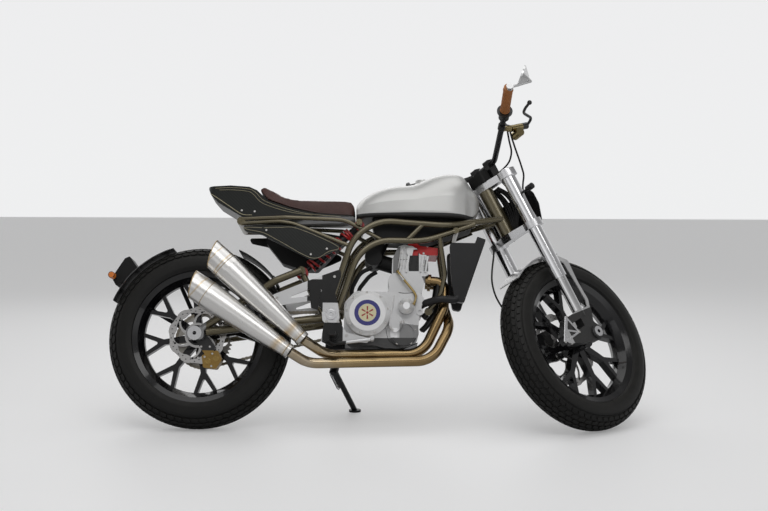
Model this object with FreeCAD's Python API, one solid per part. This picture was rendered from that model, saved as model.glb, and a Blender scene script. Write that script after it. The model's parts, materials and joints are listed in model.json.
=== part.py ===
import FreeCAD, Part
import math
import os

# A flat-track style motorcycle, parked on its side stand with the steering on its left stop.
# It is drawn upright and straight ahead, x forward, y to its left, z up, with the ground
# under the rear axle as zero. At the end every piece is turned to the way the bike rests.

# Driving sizes, in millimetres and degrees
wheelbase = 1440.0
tyre_radius = 345.0
rake = 26.0
trail = 105.0
lean = 16.0
steering_lock = 37.0
fork_half_spread = 104.0
fork_offset = 36.0
low_clamp_share = 0.3264
top_clamp_share = 0.4794
frame_half_width = 118.0
swingarm_half_width = 116.0
engine_half_width = 95.0
tank_half_width = 132.0
seat_half_width = 96.0
silencer_out = 196.0

# Fits
running_gap = 0.05
seat_gap = 0.3
overrun = 6.0

# Wheels
rim_seat_radius = 241.0
rim_flange = 9.0
rim_flange_thickness = 5.0
rim_well_depth = 19.0
rim_wall = 12.0
rear_tyre_round = 70.0
rear_rim_half_width = 52.0
front_tyre_round = 65.0
front_rim_half_width = 46.0
spoke_count = 8
spoke_thickness = 30.0
hub_radius = 38.0
hub_half_length = 58.0
axle_radius = 12.5
axle_bore = 7.0
axle_cap_radius = 26.0
axle_cap_thickness = 7.0

# Brakes and final drive
rear_disc_radius = 110.0
front_disc_radius = 150.0
disc_thickness = 5.0
disc_band = 30.0
disc_wave = 6.0
disc_gap = 10.0
disc_arms = 6
chain_pitch = 15.875
chain_line = 86.0
rear_teeth = 42
front_teeth = 15
sprocket_thickness = 7.0
tooth_height = 8.0
chain_inner_width = 8.0
chain_plate = 1.6
chain_height = 12.0
chain_roller_radius = 4.5

# Tubes and sheet
frame_tube = 12.0
arm_tube = 16.0
rail_tube = 8.0
down_tube = 9.0
sheet = 4.0
exhaust_tube = 19.0
silencer_radius = 52.0
silencer_wall = 3.0
hose_radius = 14.0
cable_radius = 3.5

# Fork
leg_radius = 27.0
stanchion_radius = 21.0
stem_radius = 15.0
head_tube_radius = 29.0
clamp_thickness = 28.0
bar_radius = 11.0
grip_radius = 17.0


def vec(x, y, z):
    return FreeCAD.Vector(x, y, z)


def up(share):
    """a height, given as a share of the wheelbase above the axles"""
    return tyre_radius + share * wheelbase


def at(share_pair, y=0.0):
    """a place in the side view: shares of the wheelbase along, and up from the axles"""
    return vec(share_pair[0] * wheelbase, y, up(share_pair[1]))


def places(path_shares, half_width):
    """a path: x and z in shares of the wheelbase, y in shares of a half width"""
    return [vec(x * wheelbase, y * half_width, up(z)) for x, z, y in path_shares]


setback_share = 0.46


def corner_arc(before, corner, after, bend):
    """start, middle and end of the arc that rounds a corner, as large as both runs allow"""
    into = before - corner
    out = after - corner
    half_turn = (math.pi - into.getAngle(out)) / 2
    setback = min(bend * math.tan(half_turn), setback_share * min(into.Length, out.Length))
    into.normalize()
    out.normalize()
    radius = setback / math.tan(half_turn)
    inward = into + out
    inward.normalize()
    depth = radius / math.cos(half_turn) - radius
    return corner + into * setback, corner + inward * depth, corner + out * setback


def bent_wire(points, bend):
    """straight runs joined by tangent arcs"""
    edges = []
    start = points[0]
    for before, corner, after in zip(points, points[1:], points[2:]):
        first, middle, last = corner_arc(before, corner, after, bend)
        edges.append(Part.LineSegment(start, first).toShape())
        edges.append(Part.Arc(first, middle, last).toShape())
        start = last
    edges.append(Part.LineSegment(start, points[-1]).toShape())
    return Part.Wire(edges)


def tube(points, radius, bend):
    path = bent_wire(points, bend)
    profile = Part.Wire([Part.makeCircle(radius, points[0], points[1] - points[0])])
    return path.makePipeShell([profile], True, False)


def rounded(points, bend):
    """closed wire round flat points, with rounded corners"""
    count = len(points)
    arcs = [corner_arc(points[i - 1], points[i], points[(i + 1) % count], bend) for i in range(count)]
    edges = []
    for i, (first, middle, last) in enumerate(arcs):
        edges.append(Part.Arc(first, middle, last).toShape())
        edges.append(Part.LineSegment(last, arcs[(i + 1) % count][0]).toShape())
    return Part.Wire(edges)


def slab(points, bend, thickness):
    """flat rounded outline pushed through a thickness, given as a vector"""
    return Part.Face(rounded(points, bend)).extrude(thickness)


def plate(outline_shares, bend, y_from, y_to):
    """side-view outline between two widths"""
    points = [at(pair, y_from) for pair in outline_shares]
    return slab(points, bend, vec(0, y_to - y_from, 0))


def rod(start, end, radius):
    along = end - start
    return Part.makeCylinder(radius, along.Length, start, along)


def drum(centre, y_from, y_to, radius):
    """cylinder across the bike"""
    return Part.makeCylinder(radius, y_to - y_from, vec(centre.x, y_from, centre.z), vec(0, 1, 0))


def ring(centre, y_from, y_to, outer, inner):
    body = drum(centre, y_from, y_to, outer)
    return body.cut(drum(centre, y_from - overrun, y_to + overrun, inner))


def turned(profile, centre, axis, seam_angle=0.0):
    """closed outline of (along, radius) turned about an axis; four numbers make an arc"""
    edges = []
    start = profile[0]
    here = vec(start[-1], 0, start[-2])
    for item in profile[1:] + profile[:1]:
        there = vec(item[-1], 0, item[-2])
        if len(item) > 2:
            middle = vec(item[1], 0, item[0])
            edges.append(Part.Arc(here, middle, there).toShape())
        else:
            edges.append(Part.LineSegment(here, there).toShape())
        here = there
    face = Part.Face(Part.Wire(edges))
    solid = face.revolve(vec(0, 0, 0), vec(0, 0, 1), 360)
    swing = FreeCAD.Rotation(vec(0, 0, 1), axis) * FreeCAD.Rotation(vec(0, 0, 1), seam_angle)
    solid.Placement = FreeCAD.Placement(centre, swing)
    return solid


def mirrored(shape):
    return shape.mirror(vec(0, 0, 0), vec(0, 1, 0))


def both(shape):
    """a piece and its twin on the other side"""
    return Part.makeCompound([shape, mirrored(shape)])


def joined(shapes):
    return shapes[0].multiFuse(shapes[1:]).removeSplitter()


across = vec(0, 1, 0)
rear_centre = vec(0, 0, tyre_radius)

# The fork is drawn upright on its own axis: x forward of the axis, z along it from the ground
fork_frame = FreeCAD.Placement(vec(wheelbase + trail, 0, 0), FreeCAD.Rotation(vec(0, 1, 0), -rake))
front_centre = fork_frame.inverse().multVec(vec(wheelbase, 0, tyre_radius))


shoulder_angle = 45.0
sidewall_angle = 8.0


def tyre(centre, section, rim_half):
    """tyre with a round crown, filled down to its bead seats"""
    crown = tyre_radius - section
    lip = rim_seat_radius + rim_flange
    shoulder = math.radians(shoulder_angle)
    sidewall = math.radians(sidewall_angle)
    profile = [
        (-rim_half, rim_seat_radius),
        (rim_half, rim_seat_radius),
        (rim_half, lip),
        (rim_half + rim_flange_thickness, lip + rim_flange_thickness),
        (section * math.cos(sidewall), crown - section * math.sin(sidewall), section, crown),
        (section * math.sin(shoulder), crown + section * math.cos(shoulder), 0, tyre_radius),
        (-section * math.sin(shoulder), crown + section * math.cos(shoulder), -section, crown),
        (-section * math.cos(sidewall), crown - section * math.sin(sidewall),
         -rim_half - rim_flange_thickness, lip + rim_flange_thickness),
        (-rim_half, lip),
    ]
    return turned(profile, centre, across)


# A Y spoke, in shares of its reach into the rim: along the spoke, then to its side
spoke_side_shares = ((0.170, 0.070), (0.634, 0.0475), (1.0, 0.222), (1.0, 0.147))
spoke_crotch_share = 0.724
spoke_bend = 6.0


def wheel(centre, rim_half, first_turn):
    """cast wheel: rim with a drop centre, hub and Y spokes"""
    lip = rim_seat_radius + rim_flange
    well = rim_seat_radius - rim_well_depth
    inner = well - rim_wall
    edge = rim_half + rim_flange_thickness
    right_side = [
        (edge, lip),
        (rim_half, lip),
        (rim_half, rim_seat_radius),
        (rim_half - rim_wall, rim_seat_radius),
        (rim_wall + rim_flange, well),
    ]
    left_side = [(-y, r) for y, r in reversed(right_side)]
    under = [(-rim_half + rim_wall / 2, rim_seat_radius - rim_wall), (-rim_wall, inner), (rim_wall, inner),
             (rim_half - rim_wall / 2, rim_seat_radius - rim_wall)]
    rim = turned(right_side + left_side + under, centre, across)
    hub = drum(centre, -hub_half_length, hub_half_length, hub_radius)
    reach = well - rim_wall * 3 / 4
    side = [vec(a * reach, 0, b * reach) for a, b in spoke_side_shares]
    other = [vec(p.x, 0, -p.z) for p in reversed(side)]
    crotch = vec(spoke_crotch_share * reach, 0, 0)
    outline = [vec(p.x, -spoke_thickness / 2, p.z) for p in side + [crotch] + other]
    spoke = slab(outline, spoke_bend, vec(0, spoke_thickness, 0))
    spokes = []
    for number in range(spoke_count):
        arm = spoke.copy()
        turn = first_turn + number * 360 / spoke_count
        arm.Placement = FreeCAD.Placement(centre, FreeCAD.Rotation(across, -turn))
        spokes.append(arm)
    casting = joined([rim, hub] + spokes)
    bore = axle_radius + running_gap
    return casting.cut(drum(centre, -hub_half_length - overrun, hub_half_length + overrun, bore))


def disc(centre, y_from, radius, inner, lobes):
    """wavy brake disc: a band on arms to a carrier round the hub"""
    outer = []
    steps = lobes * 6
    for step in range(steps):
        angle = 2 * math.pi * step / steps
        reach = radius - disc_wave * (1 - math.cos(lobes * angle)) / 2
        outer.append(vec(centre.x + reach * math.cos(angle), y_from, centre.z + reach * math.sin(angle)))
    rim = Part.Face(Part.makePolygon(outer + outer[:1])).extrude(vec(0, disc_thickness, 0))
    y_to = y_from + disc_thickness
    rim = rim.cut(drum(centre, y_from - overrun, y_to + overrun, radius - disc_band))
    carrier = ring(centre, y_from, y_to, inner + disc_gap, inner)
    arms = []
    for number in range(disc_arms):
        angle = 2 * math.pi * number / disc_arms
        direction = vec(math.cos(angle), 0, math.sin(angle))
        side = vec(-direction.z, 0, direction.x) * disc_gap
        start = vec(centre.x, y_from, centre.z) + direction * (inner + disc_gap / 2)
        end = vec(centre.x, y_from, centre.z) + direction * (radius - disc_band + disc_gap / 2)
        slant = vec(-direction.z, 0, direction.x) * disc_band / 2
        outline = [start - side, start + side, end + side + slant, end - side + slant]
        arms.append(Part.Face(Part.makePolygon(outline + outline[:1])).extrude(vec(0, disc_thickness, 0)))
    return joined([rim, carrier] + arms)


def pitch_radius(teeth):
    return chain_pitch / (2 * math.sin(math.pi / teeth))


def sprocket(centre, teeth, inner):
    radius = pitch_radius(teeth)
    points = []
    y_from = chain_line - sprocket_thickness / 2
    for tooth in range(teeth):
        for turn_share, reach in ((-0.36, -tooth_height / 2), (-0.12, tooth_height / 2),
                                  (0.12, tooth_height / 2), (0.36, -tooth_height / 2)):
            angle = 2 * math.pi * (tooth + turn_share) / teeth
            points.append(vec(centre.x + (radius + reach) * math.cos(angle), y_from,
                              centre.z + (radius + reach) * math.sin(angle)))
    body = Part.Face(Part.makePolygon(points + points[:1])).extrude(vec(0, sprocket_thickness, 0))
    return body.cut(drum(centre, y_from - overrun, y_from + sprocket_thickness + overrun, inner))


# Frame: shares of the wheelbase along and up, then of the frame's half width
upper_tube_shares = ((0.3444, 0.0701, 1.0), (0.4153, 0.3069, 1.0), (0.6458, 0.2938, 0.9),
                     (0.7986, 0.3264, 0.17))
lower_tube_shares = ((0.3653, 0.066, 1.0), (0.4257, 0.2507, 0.98), (0.5903, 0.2521, 0.86),
                     (0.7222, 0.3035, 0.56))
down_tube_shares = ((0.6285, 0.266, 0.77), (0.6431, 0.1632, 0.76), (0.6306, 0.1076, 0.68),
                    (0.6021, 0.0708, 0.52))
brace_shares = ((((0.584, 0.2938), (0.5451, 0.2549)), 0.93),)
pivot_share = (0.3479, 0.05)
mount_eye_share = (0.6, 0.0681)
upper_bend = 170.0
lower_bend = 220.0
down_bend = 90.0
boss_radius = 33.0
boss_inset = 14.0
eye_radius = 15.0
pivot = at(pivot_share)
boss_inner = frame_half_width - boss_inset
boss_outer = frame_half_width + frame_tube
head_low = up(low_clamp_share) + clamp_thickness + seat_gap
head_high = up(top_clamp_share) - seat_gap


def head_tube():
    low = vec(0, 0, head_low)
    high = vec(0, 0, head_high)
    body = rod(low, high, head_tube_radius)
    bore = rod(low - vec(0, 0, overrun), high + vec(0, 0, overrun), stem_radius + running_gap)
    shape = body.cut(bore)
    shape.Placement = fork_frame
    return shape


def frame_side():
    """left half of the frame: two hoops from the pivot to the head, a downtube and braces"""
    upper = tube(places(upper_tube_shares, frame_half_width), frame_tube, upper_bend)
    lower = tube(places(lower_tube_shares, frame_half_width), frame_tube, lower_bend)
    down = tube(places(down_tube_shares, frame_half_width), down_tube, down_bend)
    boss = drum(pivot, boss_inner, boss_outer, boss_radius)
    braces = [rod(at(a, y * frame_half_width), at(b, y * frame_half_width), down_tube)
              for (a, b), y in brace_shares]
    eye_y = down_tube_shares[-1][2] * frame_half_width
    eye = drum(at(mount_eye_share), eye_y - down_tube, eye_y + down_tube, eye_radius)
    shape = joined([upper, lower, boss, down, eye] + braces)
    return shape.cut(drum(pivot, boss_inner - overrun, boss_outer + overrun, axle_radius))


cross_tube_shares = (((0.4167, 0.2993), 1.0), ((0.6722, 0.2826), 0.78))


def frame_cross_tubes():
    tubes = []
    for place, y_share in cross_tube_shares:
        reach = y_share * frame_half_width
        tubes.append(drum(at(place), -reach, reach, frame_tube))
    return Part.makeCompound(tubes)


seat_rail_shares = ((0.1042, 0.3104, 0.66), (0.2215, 0.3132, 0.82), (0.3785, 0.3076, 0.82),
                    (0.4861, 0.2493, 0.84))
stay_rail_shares = ((0.1042, 0.2979, 0.66), (0.2083, 0.3021, 0.82), (0.2431, 0.2965, 0.82),
                    (0.3931, 0.2354, 0.92))
loop_share = (0.1042, 0.3042)
rail_bend = 120.0


def subframe():
    """seat rails and their stays, joined by the loop behind the seat"""
    rails = []
    for shares in (seat_rail_shares, stay_rail_shares):
        rails.append(tube(places(shares, frame_half_width), rail_tube, rail_bend))
    half = rails + [mirrored(rail) for rail in rails]
    reach = seat_rail_shares[0][2] * frame_half_width
    loop = drum(at(loop_share), -reach - rail_tube, reach + rail_tube, rail_tube * 2)
    return joined(half + [loop])


def swingarm_pivot():
    reach = boss_outer + axle_cap_thickness
    shaft = drum(pivot, -reach, reach, axle_radius)
    right_cap = drum(pivot, -reach, -boss_outer, axle_cap_radius)
    body = joined([shaft, right_cap, drum(pivot, boss_outer, reach, axle_cap_radius)])
    return body.cut(drum(pivot, -reach - overrun, reach + overrun, axle_bore))


arm_lower_shares = ((0.3479, 0.05, 0.7), (0.125, 0.0181, 0.93), (0.0278, 0.0049, 1.0))
arm_upper_shares = ((0.0139, 0.0118, 0.97), (0.2014, 0.141, 0.97), (0.2674, 0.1688, 0.94))
arm_strut_shares = ((0.2674, 0.1688, 0.6), (0.3264, 0.0576, 0.55))
arm_apex_share = (0.2674, 0.1688)
arm_bend = 100.0
arm_block_length = 66.0
arm_block_height = 46.0
pivot_tube_radius = 24.0
arm_end_inner = 100.0
arm_end_outer = 132.0


def swingarm():
    """tube truss: lower arms, upper struts to an apex tube, struts back to the pivot tube"""
    reach = boss_inner - seat_gap
    pivot_tube = drum(pivot, -reach, reach, pivot_tube_radius)
    apex = at(arm_apex_share)
    apex_reach = arm_upper_shares[-1][2] * swingarm_half_width
    apex_tube = drum(apex, -apex_reach, apex_reach, arm_tube)
    half = [
        tube(places(arm_upper_shares, swingarm_half_width), arm_tube - rail_tube / 4, arm_bend),
        tube(places(arm_lower_shares, swingarm_half_width), arm_tube, arm_bend * 2),
        rod(*places(arm_strut_shares, swingarm_half_width), rail_tube + rail_tube / 2),
    ]
    corner = vec(arm_block_length / 2, 0, arm_block_height / 2)
    block = Part.makeBox(arm_block_length, arm_end_outer - arm_end_inner, arm_block_height,
                         vec(-corner.x, arm_end_inner, tyre_radius - corner.z))
    block = block.makeFillet(arm_block_height / 3, [e for e in block.Edges if abs(e.tangentAt(0).y) > 0.9])
    half.append(block)
    body = joined(half + [mirrored(piece) for piece in half] + [pivot_tube, apex_tube])
    body = body.cut(drum(pivot, -reach - overrun, reach + overrun, axle_radius))
    return body.cut(drum(rear_centre, -arm_end_outer - overrun, arm_end_outer + overrun, axle_radius))


spacer_radius = 19.0
disc_side = 68.0
sprocket_hub_radius = 45.0


def rear_axle():
    """hollow axle with round caps and a spacer on each side of the hub"""
    reach = arm_end_outer + axle_cap_thickness
    parts = [
        drum(rear_centre, -reach, reach, axle_radius),
        drum(rear_centre, -reach, -arm_end_outer, axle_cap_radius),
        drum(rear_centre, arm_end_outer, reach, axle_cap_radius),
        drum(rear_centre, -arm_end_inner, -disc_side - disc_thickness - seat_gap, spacer_radius),
        drum(rear_centre, chain_line + sprocket_thickness / 2 + seat_gap, arm_end_inner, spacer_radius),
    ]
    return joined(parts).cut(drum(rear_centre, -reach - overrun, reach + overrun, axle_bore))


caliper_shares = ((0.0153, -0.0535), (0.0208, -0.0854), (0.0542, -0.0882), (0.0681, -0.0646),
                  (0.0569, -0.0396))
caliper_arm_shares = ((-0.0153, 0.0049), (0.0139, 0.0146), (0.05, -0.0312), (0.0417, -0.0576),
                      (0.025, -0.0535))
caliper_depth = 22.0


def rear_caliper():
    """caliper astride the disc, hung from the axle spacer by its bracket"""
    centre_y = -disc_side - disc_thickness / 2
    body = plate(caliper_shares, caliper_depth / 3, centre_y - caliper_depth, centre_y + caliper_depth)
    slot = drum(rear_centre, centre_y - disc_thickness, centre_y + disc_thickness, rear_disc_radius + disc_gap / 2)
    y_arm = centre_y - caliper_depth
    bracket = plate(caliper_arm_shares, caliper_depth / 3, y_arm, y_arm + sheet * 2)
    bracket = bracket.cut(drum(rear_centre, y_arm - overrun, y_arm + sheet * 2 + overrun, spacer_radius))
    return joined([body.cut(slot), bracket])


front_sprocket_share = (0.4062, 0.0556)
bush_radius = 12.0


def drive_chain():
    """chain as it lies: two bands of side plates round both sprockets, rollers on the free runs"""
    front = at(front_sprocket_share)
    big = pitch_radius(rear_teeth)
    small = pitch_radius(front_teeth)
    span = front - rear_centre
    slope = math.atan2(span.z, span.x)
    spread = math.acos((big - small) / span.Length)
    loops = []
    for reach in (chain_height / 2, -chain_height / 2):
        points = []
        for angle_sign in (1, -1):
            angle = slope + angle_sign * spread
            direction = vec(math.cos(angle), 0, math.sin(angle))
            points.append((rear_centre + direction * (big + reach), front + direction * (small + reach)))
        back = vec(math.cos(slope), 0, math.sin(slope))
        (rear_top, front_top), (rear_low, front_low) = points
        edges = [
            Part.LineSegment(rear_top, front_top).toShape(),
            Part.Arc(front_top, front + back * (small + reach), front_low).toShape(),
            Part.LineSegment(front_low, rear_low).toShape(),
            Part.Arc(rear_low, rear_centre - back * (big + reach), rear_top).toShape(),
        ]
        loops.append(Part.Wire(edges))
    band = Part.Face(loops[0]).cut(Part.Face(loops[1])).Faces[0]
    inner = chain_inner_width / 2
    bands = []
    for y_from in (chain_line + inner, chain_line - inner - chain_plate):
        copy = band.copy()
        copy.translate(vec(0, y_from, 0))
        bands.append(copy.extrude(vec(0, chain_plate, 0)))
    clear = math.sqrt((big + tooth_height + chain_roller_radius) ** 2 - big ** 2) + chain_pitch
    rollers = []
    for angle_sign in (1, -1):
        angle = slope + angle_sign * spread
        direction = vec(math.cos(angle), 0, math.sin(angle))
        start = rear_centre + direction * big
        end = front + direction * small
        run = end - start
        count = int((run.Length - clear - chain_pitch * 2) / chain_pitch)
        run.normalize()
        for number in range(count):
            place = start + run * (clear + number * chain_pitch)
            rollers.append(drum(place, chain_line - inner, chain_line + inner, chain_roller_radius))
    return joined(bands + rollers)


def gearbox_sprocket():
    return sprocket(at(front_sprocket_share), front_teeth, bush_radius)


sprocket_windows = 8


def rear_sprocket():
    body = sprocket(rear_centre, rear_teeth, axle_radius + running_gap)
    window = (pitch_radius(rear_teeth) - tooth_height - sprocket_hub_radius) / 2 - rail_tube / 2
    middle = pitch_radius(rear_teeth) - tooth_height - window - rail_tube / 2
    y_from = chain_line - sprocket_thickness / 2 - overrun
    for number in range(sprocket_windows):
        angle = 2 * math.pi * number / sprocket_windows
        place = rear_centre + vec(math.cos(angle), 0, math.sin(angle)) * middle
        body = body.cut(drum(place, y_from, chain_line + sprocket_thickness / 2 + overrun, window))
    return body


# Shock: from the apex of the swingarm to the cross tube under the tank
shock_side = -46.0
shock_low_share = (0.2674, 0.1688)
shock_high_share = (0.4167, 0.2993)
spring_radius = 27.0
spring_groove = 5.0
spring_turns = 7
shock_rod = 9.0
shock_eye_length = 24.0
spring_from_share = 0.16
spring_to_share = 0.78


def shock():
    low = at(shock_low_share, shock_side)
    high = at(shock_high_share, shock_side)
    along = high - low
    length = along.Length
    seat_low = length * spring_from_share
    seat_high = length * spring_to_share
    turn = (seat_high - seat_low) / spring_turns
    profile = [(arm_tube, 0), (arm_tube, shock_rod), (seat_low - sheet, shock_rod)]
    profile += [(seat_low - sheet, spring_radius), (seat_low, spring_radius)]
    for number in range(spring_turns):
        base = seat_low + number * turn
        profile += [(base + turn / 4, spring_radius - spring_groove),
        (base + turn / 2, spring_radius - spring_groove),
                    (base + turn * 3 / 4, spring_radius), (base + turn, spring_radius)]
    profile += [(seat_high + sheet * 3, spring_radius),
    (seat_high + sheet * 3, spring_radius - spring_groove),
                (length - frame_tube, spring_radius - spring_groove * 2), (length - frame_tube, 0)]
    body = turned(profile, low, along)
    lug_low = drum(low, shock_side - shock_eye_length / 2, shock_side + shock_eye_length / 2, arm_tube + sheet * 2)
    lug_high = drum(high, shock_side - shock_eye_length / 2, shock_side + shock_eye_length / 2,
                    frame_tube + sheet * 2)
    return joined([body, lug_low, lug_high])


# Engine
case_shares = ((0.4882, 0.116), (0.5778, 0.116), (0.591, 0.0958), (0.5799, 0.0778), (0.5854, 0.0646),
               (0.5764, 0.0542), (0.5736, 0.0243),
               (0.575, 0.0007), (0.5507, -0.0174), (0.5271, -0.0297), (0.4861, -0.0297),
               (0.4569, -0.0236), (0.4042, -0.0243), (0.3806, -0.0035),
               (0.3806, 0.0868), (0.4097, 0.1181))
case_left_width = 72.0
clutch_share = (0.4417, 0.0542)
clutch_radius = 83.0
clutch_out = 160.0
clutch_step = 8.0
pump_share = (0.5417, 0.0757)
pump_radius = 29.0
pump_out = 140.0
filter_shares = ((0.4972, 0.059), (0.5174, 0.0563), (0.5306, 0.0437), (0.534, 0.0299), (0.5264, 0.0153),
                 (0.5139, 0.0056), (0.5042, 0.0132),
                 (0.4972, 0.0257))
filter_depth = 32.0
water_share = (0.5354, 0.0056)
water_radius = 50.0
water_depth = 13.0
water_rib = 6.0
engine_boss_share = (0.5771, 0.0646)
engine_boss_radius = 14.0
engine_boss_hole = 6.0
generator_share = (0.4972, 0.0556)
generator_radius = 70.0
generator_out = 126.0
cylinder_shares = ((0.4896, 0.1146), (0.5819, 0.1132), (0.5889, 0.1465), (0.5806, 0.1653),
                   (0.5014, 0.1653), (0.4938, 0.1521), (0.4979, 0.1285))
head_shares = ((0.5035, 0.1611), (0.5049, 0.2056), (0.5201, 0.2403), (0.5375, 0.2465), (0.5708, 0.2354),
               (0.5757, 0.2188), (0.5986, 0.2188),
               (0.6, 0.1611))
groove_shares = ((0.5486, 0.1757), (0.5604, 0.2319), (0.5743, 0.2319), (0.5687, 0.1757))
groove_depth = 9.0
rib_shares = (((0.525, 0.1715), (0.534, 0.2299)), ((0.5417, 0.1715), (0.5507, 0.2299)), ((0.5792, 0.1715),
              (0.5868, 0.2146)),
              ((0.5917, 0.1715), (0.5986, 0.2146)))
rib_width = 7.0
rib_out = 6.0
rocker_share = (0.5528, 0.2285)
rocker_radius = 19.0
cap_shares = ((0.5444, 0.2396), (0.5472, 0.2521), (0.5681, 0.2521), (0.5792, 0.2444), (0.625, 0.2389),
              (0.625, 0.2188), (0.5986, 0.2201),
              (0.5757, 0.2201), (0.5708, 0.2354))
cap_half_width = 60.0
cylinder_half_width = 74.0
case_bend = 26.0
oil_line_shares = ((0.5174, 0.1743, -0.76), (0.5292, 0.1562, -0.82), (0.5639, 0.1146, -0.9),
                   (0.5687, 0.0965, -1.0), (0.5597, 0.0785, -1.1))
oil_line_radius = 4.0


def cover(centre, y_near, y_far, radius):
    """round engine cover with a stepped rim, on the side that y_far points to"""
    outward = 1 if y_far > y_near else -1
    depth = abs(y_far - y_near)
    profile = [(0, 0), (0, radius), (depth - clutch_step * 2, radius),
    (depth - clutch_step, radius - clutch_step),
               (depth, radius - clutch_step * 2), (depth, 0)]
    return turned(profile, vec(centre.x, y_near, centre.z), across * outward)


def crankcase():
    """case with its round and leaf-shaped covers on the right and the generator on the left"""
    right = -engine_half_width
    water = at(water_share)
    rib_outer = water_radius - water_rib
    boss = at(engine_boss_share)
    pieces = [
        plate(case_shares, case_bend, right, case_left_width),
        cover(at(pump_share), right, -pump_out, pump_radius),
        plate(filter_shares, case_bend / 2, right - filter_depth, right),
        drum(water, right - water_depth, right, water_radius),
        ring(water, right - water_depth - water_rib, right - water_depth, rib_outer, rib_outer - water_rib),
        ring(boss, right - water_rib, right, engine_boss_radius, engine_boss_hole),
        cover(at(generator_share), case_left_width, generator_out, generator_radius),
        drum(at(front_sprocket_share), case_left_width, chain_line + sprocket_thickness + sheet, bush_radius),
    ]
    return joined(pieces)


def clutch_cover():
    return cover(at(clutch_share), -engine_half_width, -clutch_out, clutch_radius)


def slanted_bar(ends, width, y_from, y_to):
    """straight bar between two places in the side view"""
    low, high = [at(pair, y_from) for pair in ends]
    side = vec(width / 2, 0, 0)
    outline = [low - side, low + side, high + side, high - side]
    return Part.Face(Part.makePolygon(outline + outline[:1])).extrude(vec(0, y_to - y_from, 0))


def cylinder_head():
    """cylinder and head with upright ribs, a groove down each side, the red cover on top and the oil line"""
    out = cylinder_half_width
    block = plate(cylinder_shares, case_bend / 2, -out, out)
    head = plate(head_shares, case_bend / 2, -out, out)
    cap = plate(cap_shares, sheet, -cap_half_width, cap_half_width)
    line = tube(places(oil_line_shares, pump_out - water_depth * 2), oil_line_radius, hose_radius * 3)
    ribs = [slanted_bar(ends, rib_width, -out - rib_out, out + rib_out) for ends in rib_shares]
    rocker = drum(at(rocker_share), -out - rib_out, out + rib_out, rocker_radius)
    body = joined([block, head, cap, rocker] + ribs)
    corners = [at(pair, -out - overrun * 2) for pair in groove_shares]
    groove = Part.Face(Part.makePolygon(corners + corners[:1]))
    groove = groove.extrude(vec(0, overrun * 2 + groove_depth, 0))
    return joined([body.cut(groove).cut(mirrored(groove)), line])


# Exhaust: y is a share of the silencer's own distance out
upper_pipe_shares = ((0.5938, 0.1535, -0.18), (0.6431, 0.1493, -0.22), (0.6403, 0.0771, -0.34),
                     (0.5847, -0.0451, -0.44),
                     (0.3375, -0.05, -0.46), (0.2778, -0.016, -0.86))
lower_pipe_shares = ((0.5938, 0.1535, 0.18), (0.6417, 0.1507, 0.17), (0.6431, 0.0868, 0.06),
                     (0.6562, 0.0278, -0.42), (0.6083, -0.0646, -0.6),
                     (0.2917, -0.0743, -0.62), (0.2444, -0.0479, -0.88))
flange_from_share = 0.006
flange_to_share = 0.014
flange_wall = 7.0
upper_mouth_shares = ((0.0556, 0.225), (0.0361, 0.1694))
lower_mouth_shares = ((0.0076, 0.1493), (-0.0097, 0.0875))
exhaust_bend = 95.0
waist_share = 0.42
waist_swell_share = 0.62
mouth_lip_share = 0.92
silencer_seam_angle = 90.0
shoulder_share = 0.82


def headers():
    """two pipes side by side out of the head, each with its flange"""
    pipes = []
    for shares in (upper_pipe_shares, lower_pipe_shares):
        points = places(shares, silencer_out)
        along = points[1] - points[0]
        along.normalize()
        flange = rod(points[0] + along * (flange_from_share * wheelbase), points[0] + along * (flange_to_share * wheelbase),
                     exhaust_tube + flange_wall)
        pipes.append(joined([tube(points, exhaust_tube, exhaust_bend), flange]))
    return Part.makeCompound(pipes)


def silencer(pipe_shares, mouth_shares):
    """open megaphone from the end of its pipe, cut off on the slant between the two ends of its mouth"""
    start = places(pipe_shares[-1:], silencer_out)[0]
    high, low = [at(pair, -silencer_out) for pair in mouth_shares]
    along = (high + low) / 2 - start
    length = along.Length
    full = length + silencer_radius
    neck = exhaust_tube + silencer_wall * 2
    wide = silencer_radius
    lip = wide * mouth_lip_share
    profile = [
        (0, 0),
        (0, neck),
        (length * waist_share, neck + (wide - neck) * waist_swell_share, length * shoulder_share, wide),
        (full, lip),
        (full, lip - silencer_wall),
        (length * shoulder_share, wide - silencer_wall),
        (length * shoulder_share, 0),
    ]
    edge = high - low
    edge.normalize()
    out = vec(along.x, along.y, along.z)
    out.normalize()
    reach = silencer_radius * 2
    corners = [low - edge * reach, high + edge * reach, high + (edge + out * 2) * reach, low + (out * 2 - edge) * reach]
    beyond = Part.Face(Part.makePolygon(corners + corners[:1])).extrude(across * (reach * 2))
    beyond.translate(across * -reach)
    return turned(profile, start, along, silencer_seam_angle).cut(beyond)


# Cooling
radiator_shares = ((0.75, 0.2576), (0.7278, 0.2653), (0.6757, 0.1146), (0.6972, 0.1062))
radiator_half_width = 100.0
side_tank_shares = ((0.6549, 0.2465), (0.7292, 0.2458), (0.7264, 0.2035), (0.6917, 0.0868),
                    (0.6701, 0.0903), (0.6597, 0.1354), (0.6569, 0.1771))
side_tank_inner = 86.0
side_tank_outer = 112.0
hose_shares = ((0.684, 0.1111, -0.97), (0.6708, 0.0951, -1.1), (0.6285, 0.0965, -1.2),
               (0.5875, 0.0868, -0.9), (0.5764, 0.0813, -0.6))


def radiator():
    """core between its two side tanks, with the hose to the engine on the right"""
    core = plate(radiator_shares, sheet, -radiator_half_width, radiator_half_width)
    tank = plate(side_tank_shares, hanger_bend, side_tank_inner, side_tank_outer)
    hose = tube(places(hose_shares, engine_half_width), hose_radius, hose_radius * 4)
    return joined([core, tank, mirrored(tank), hose])


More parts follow.
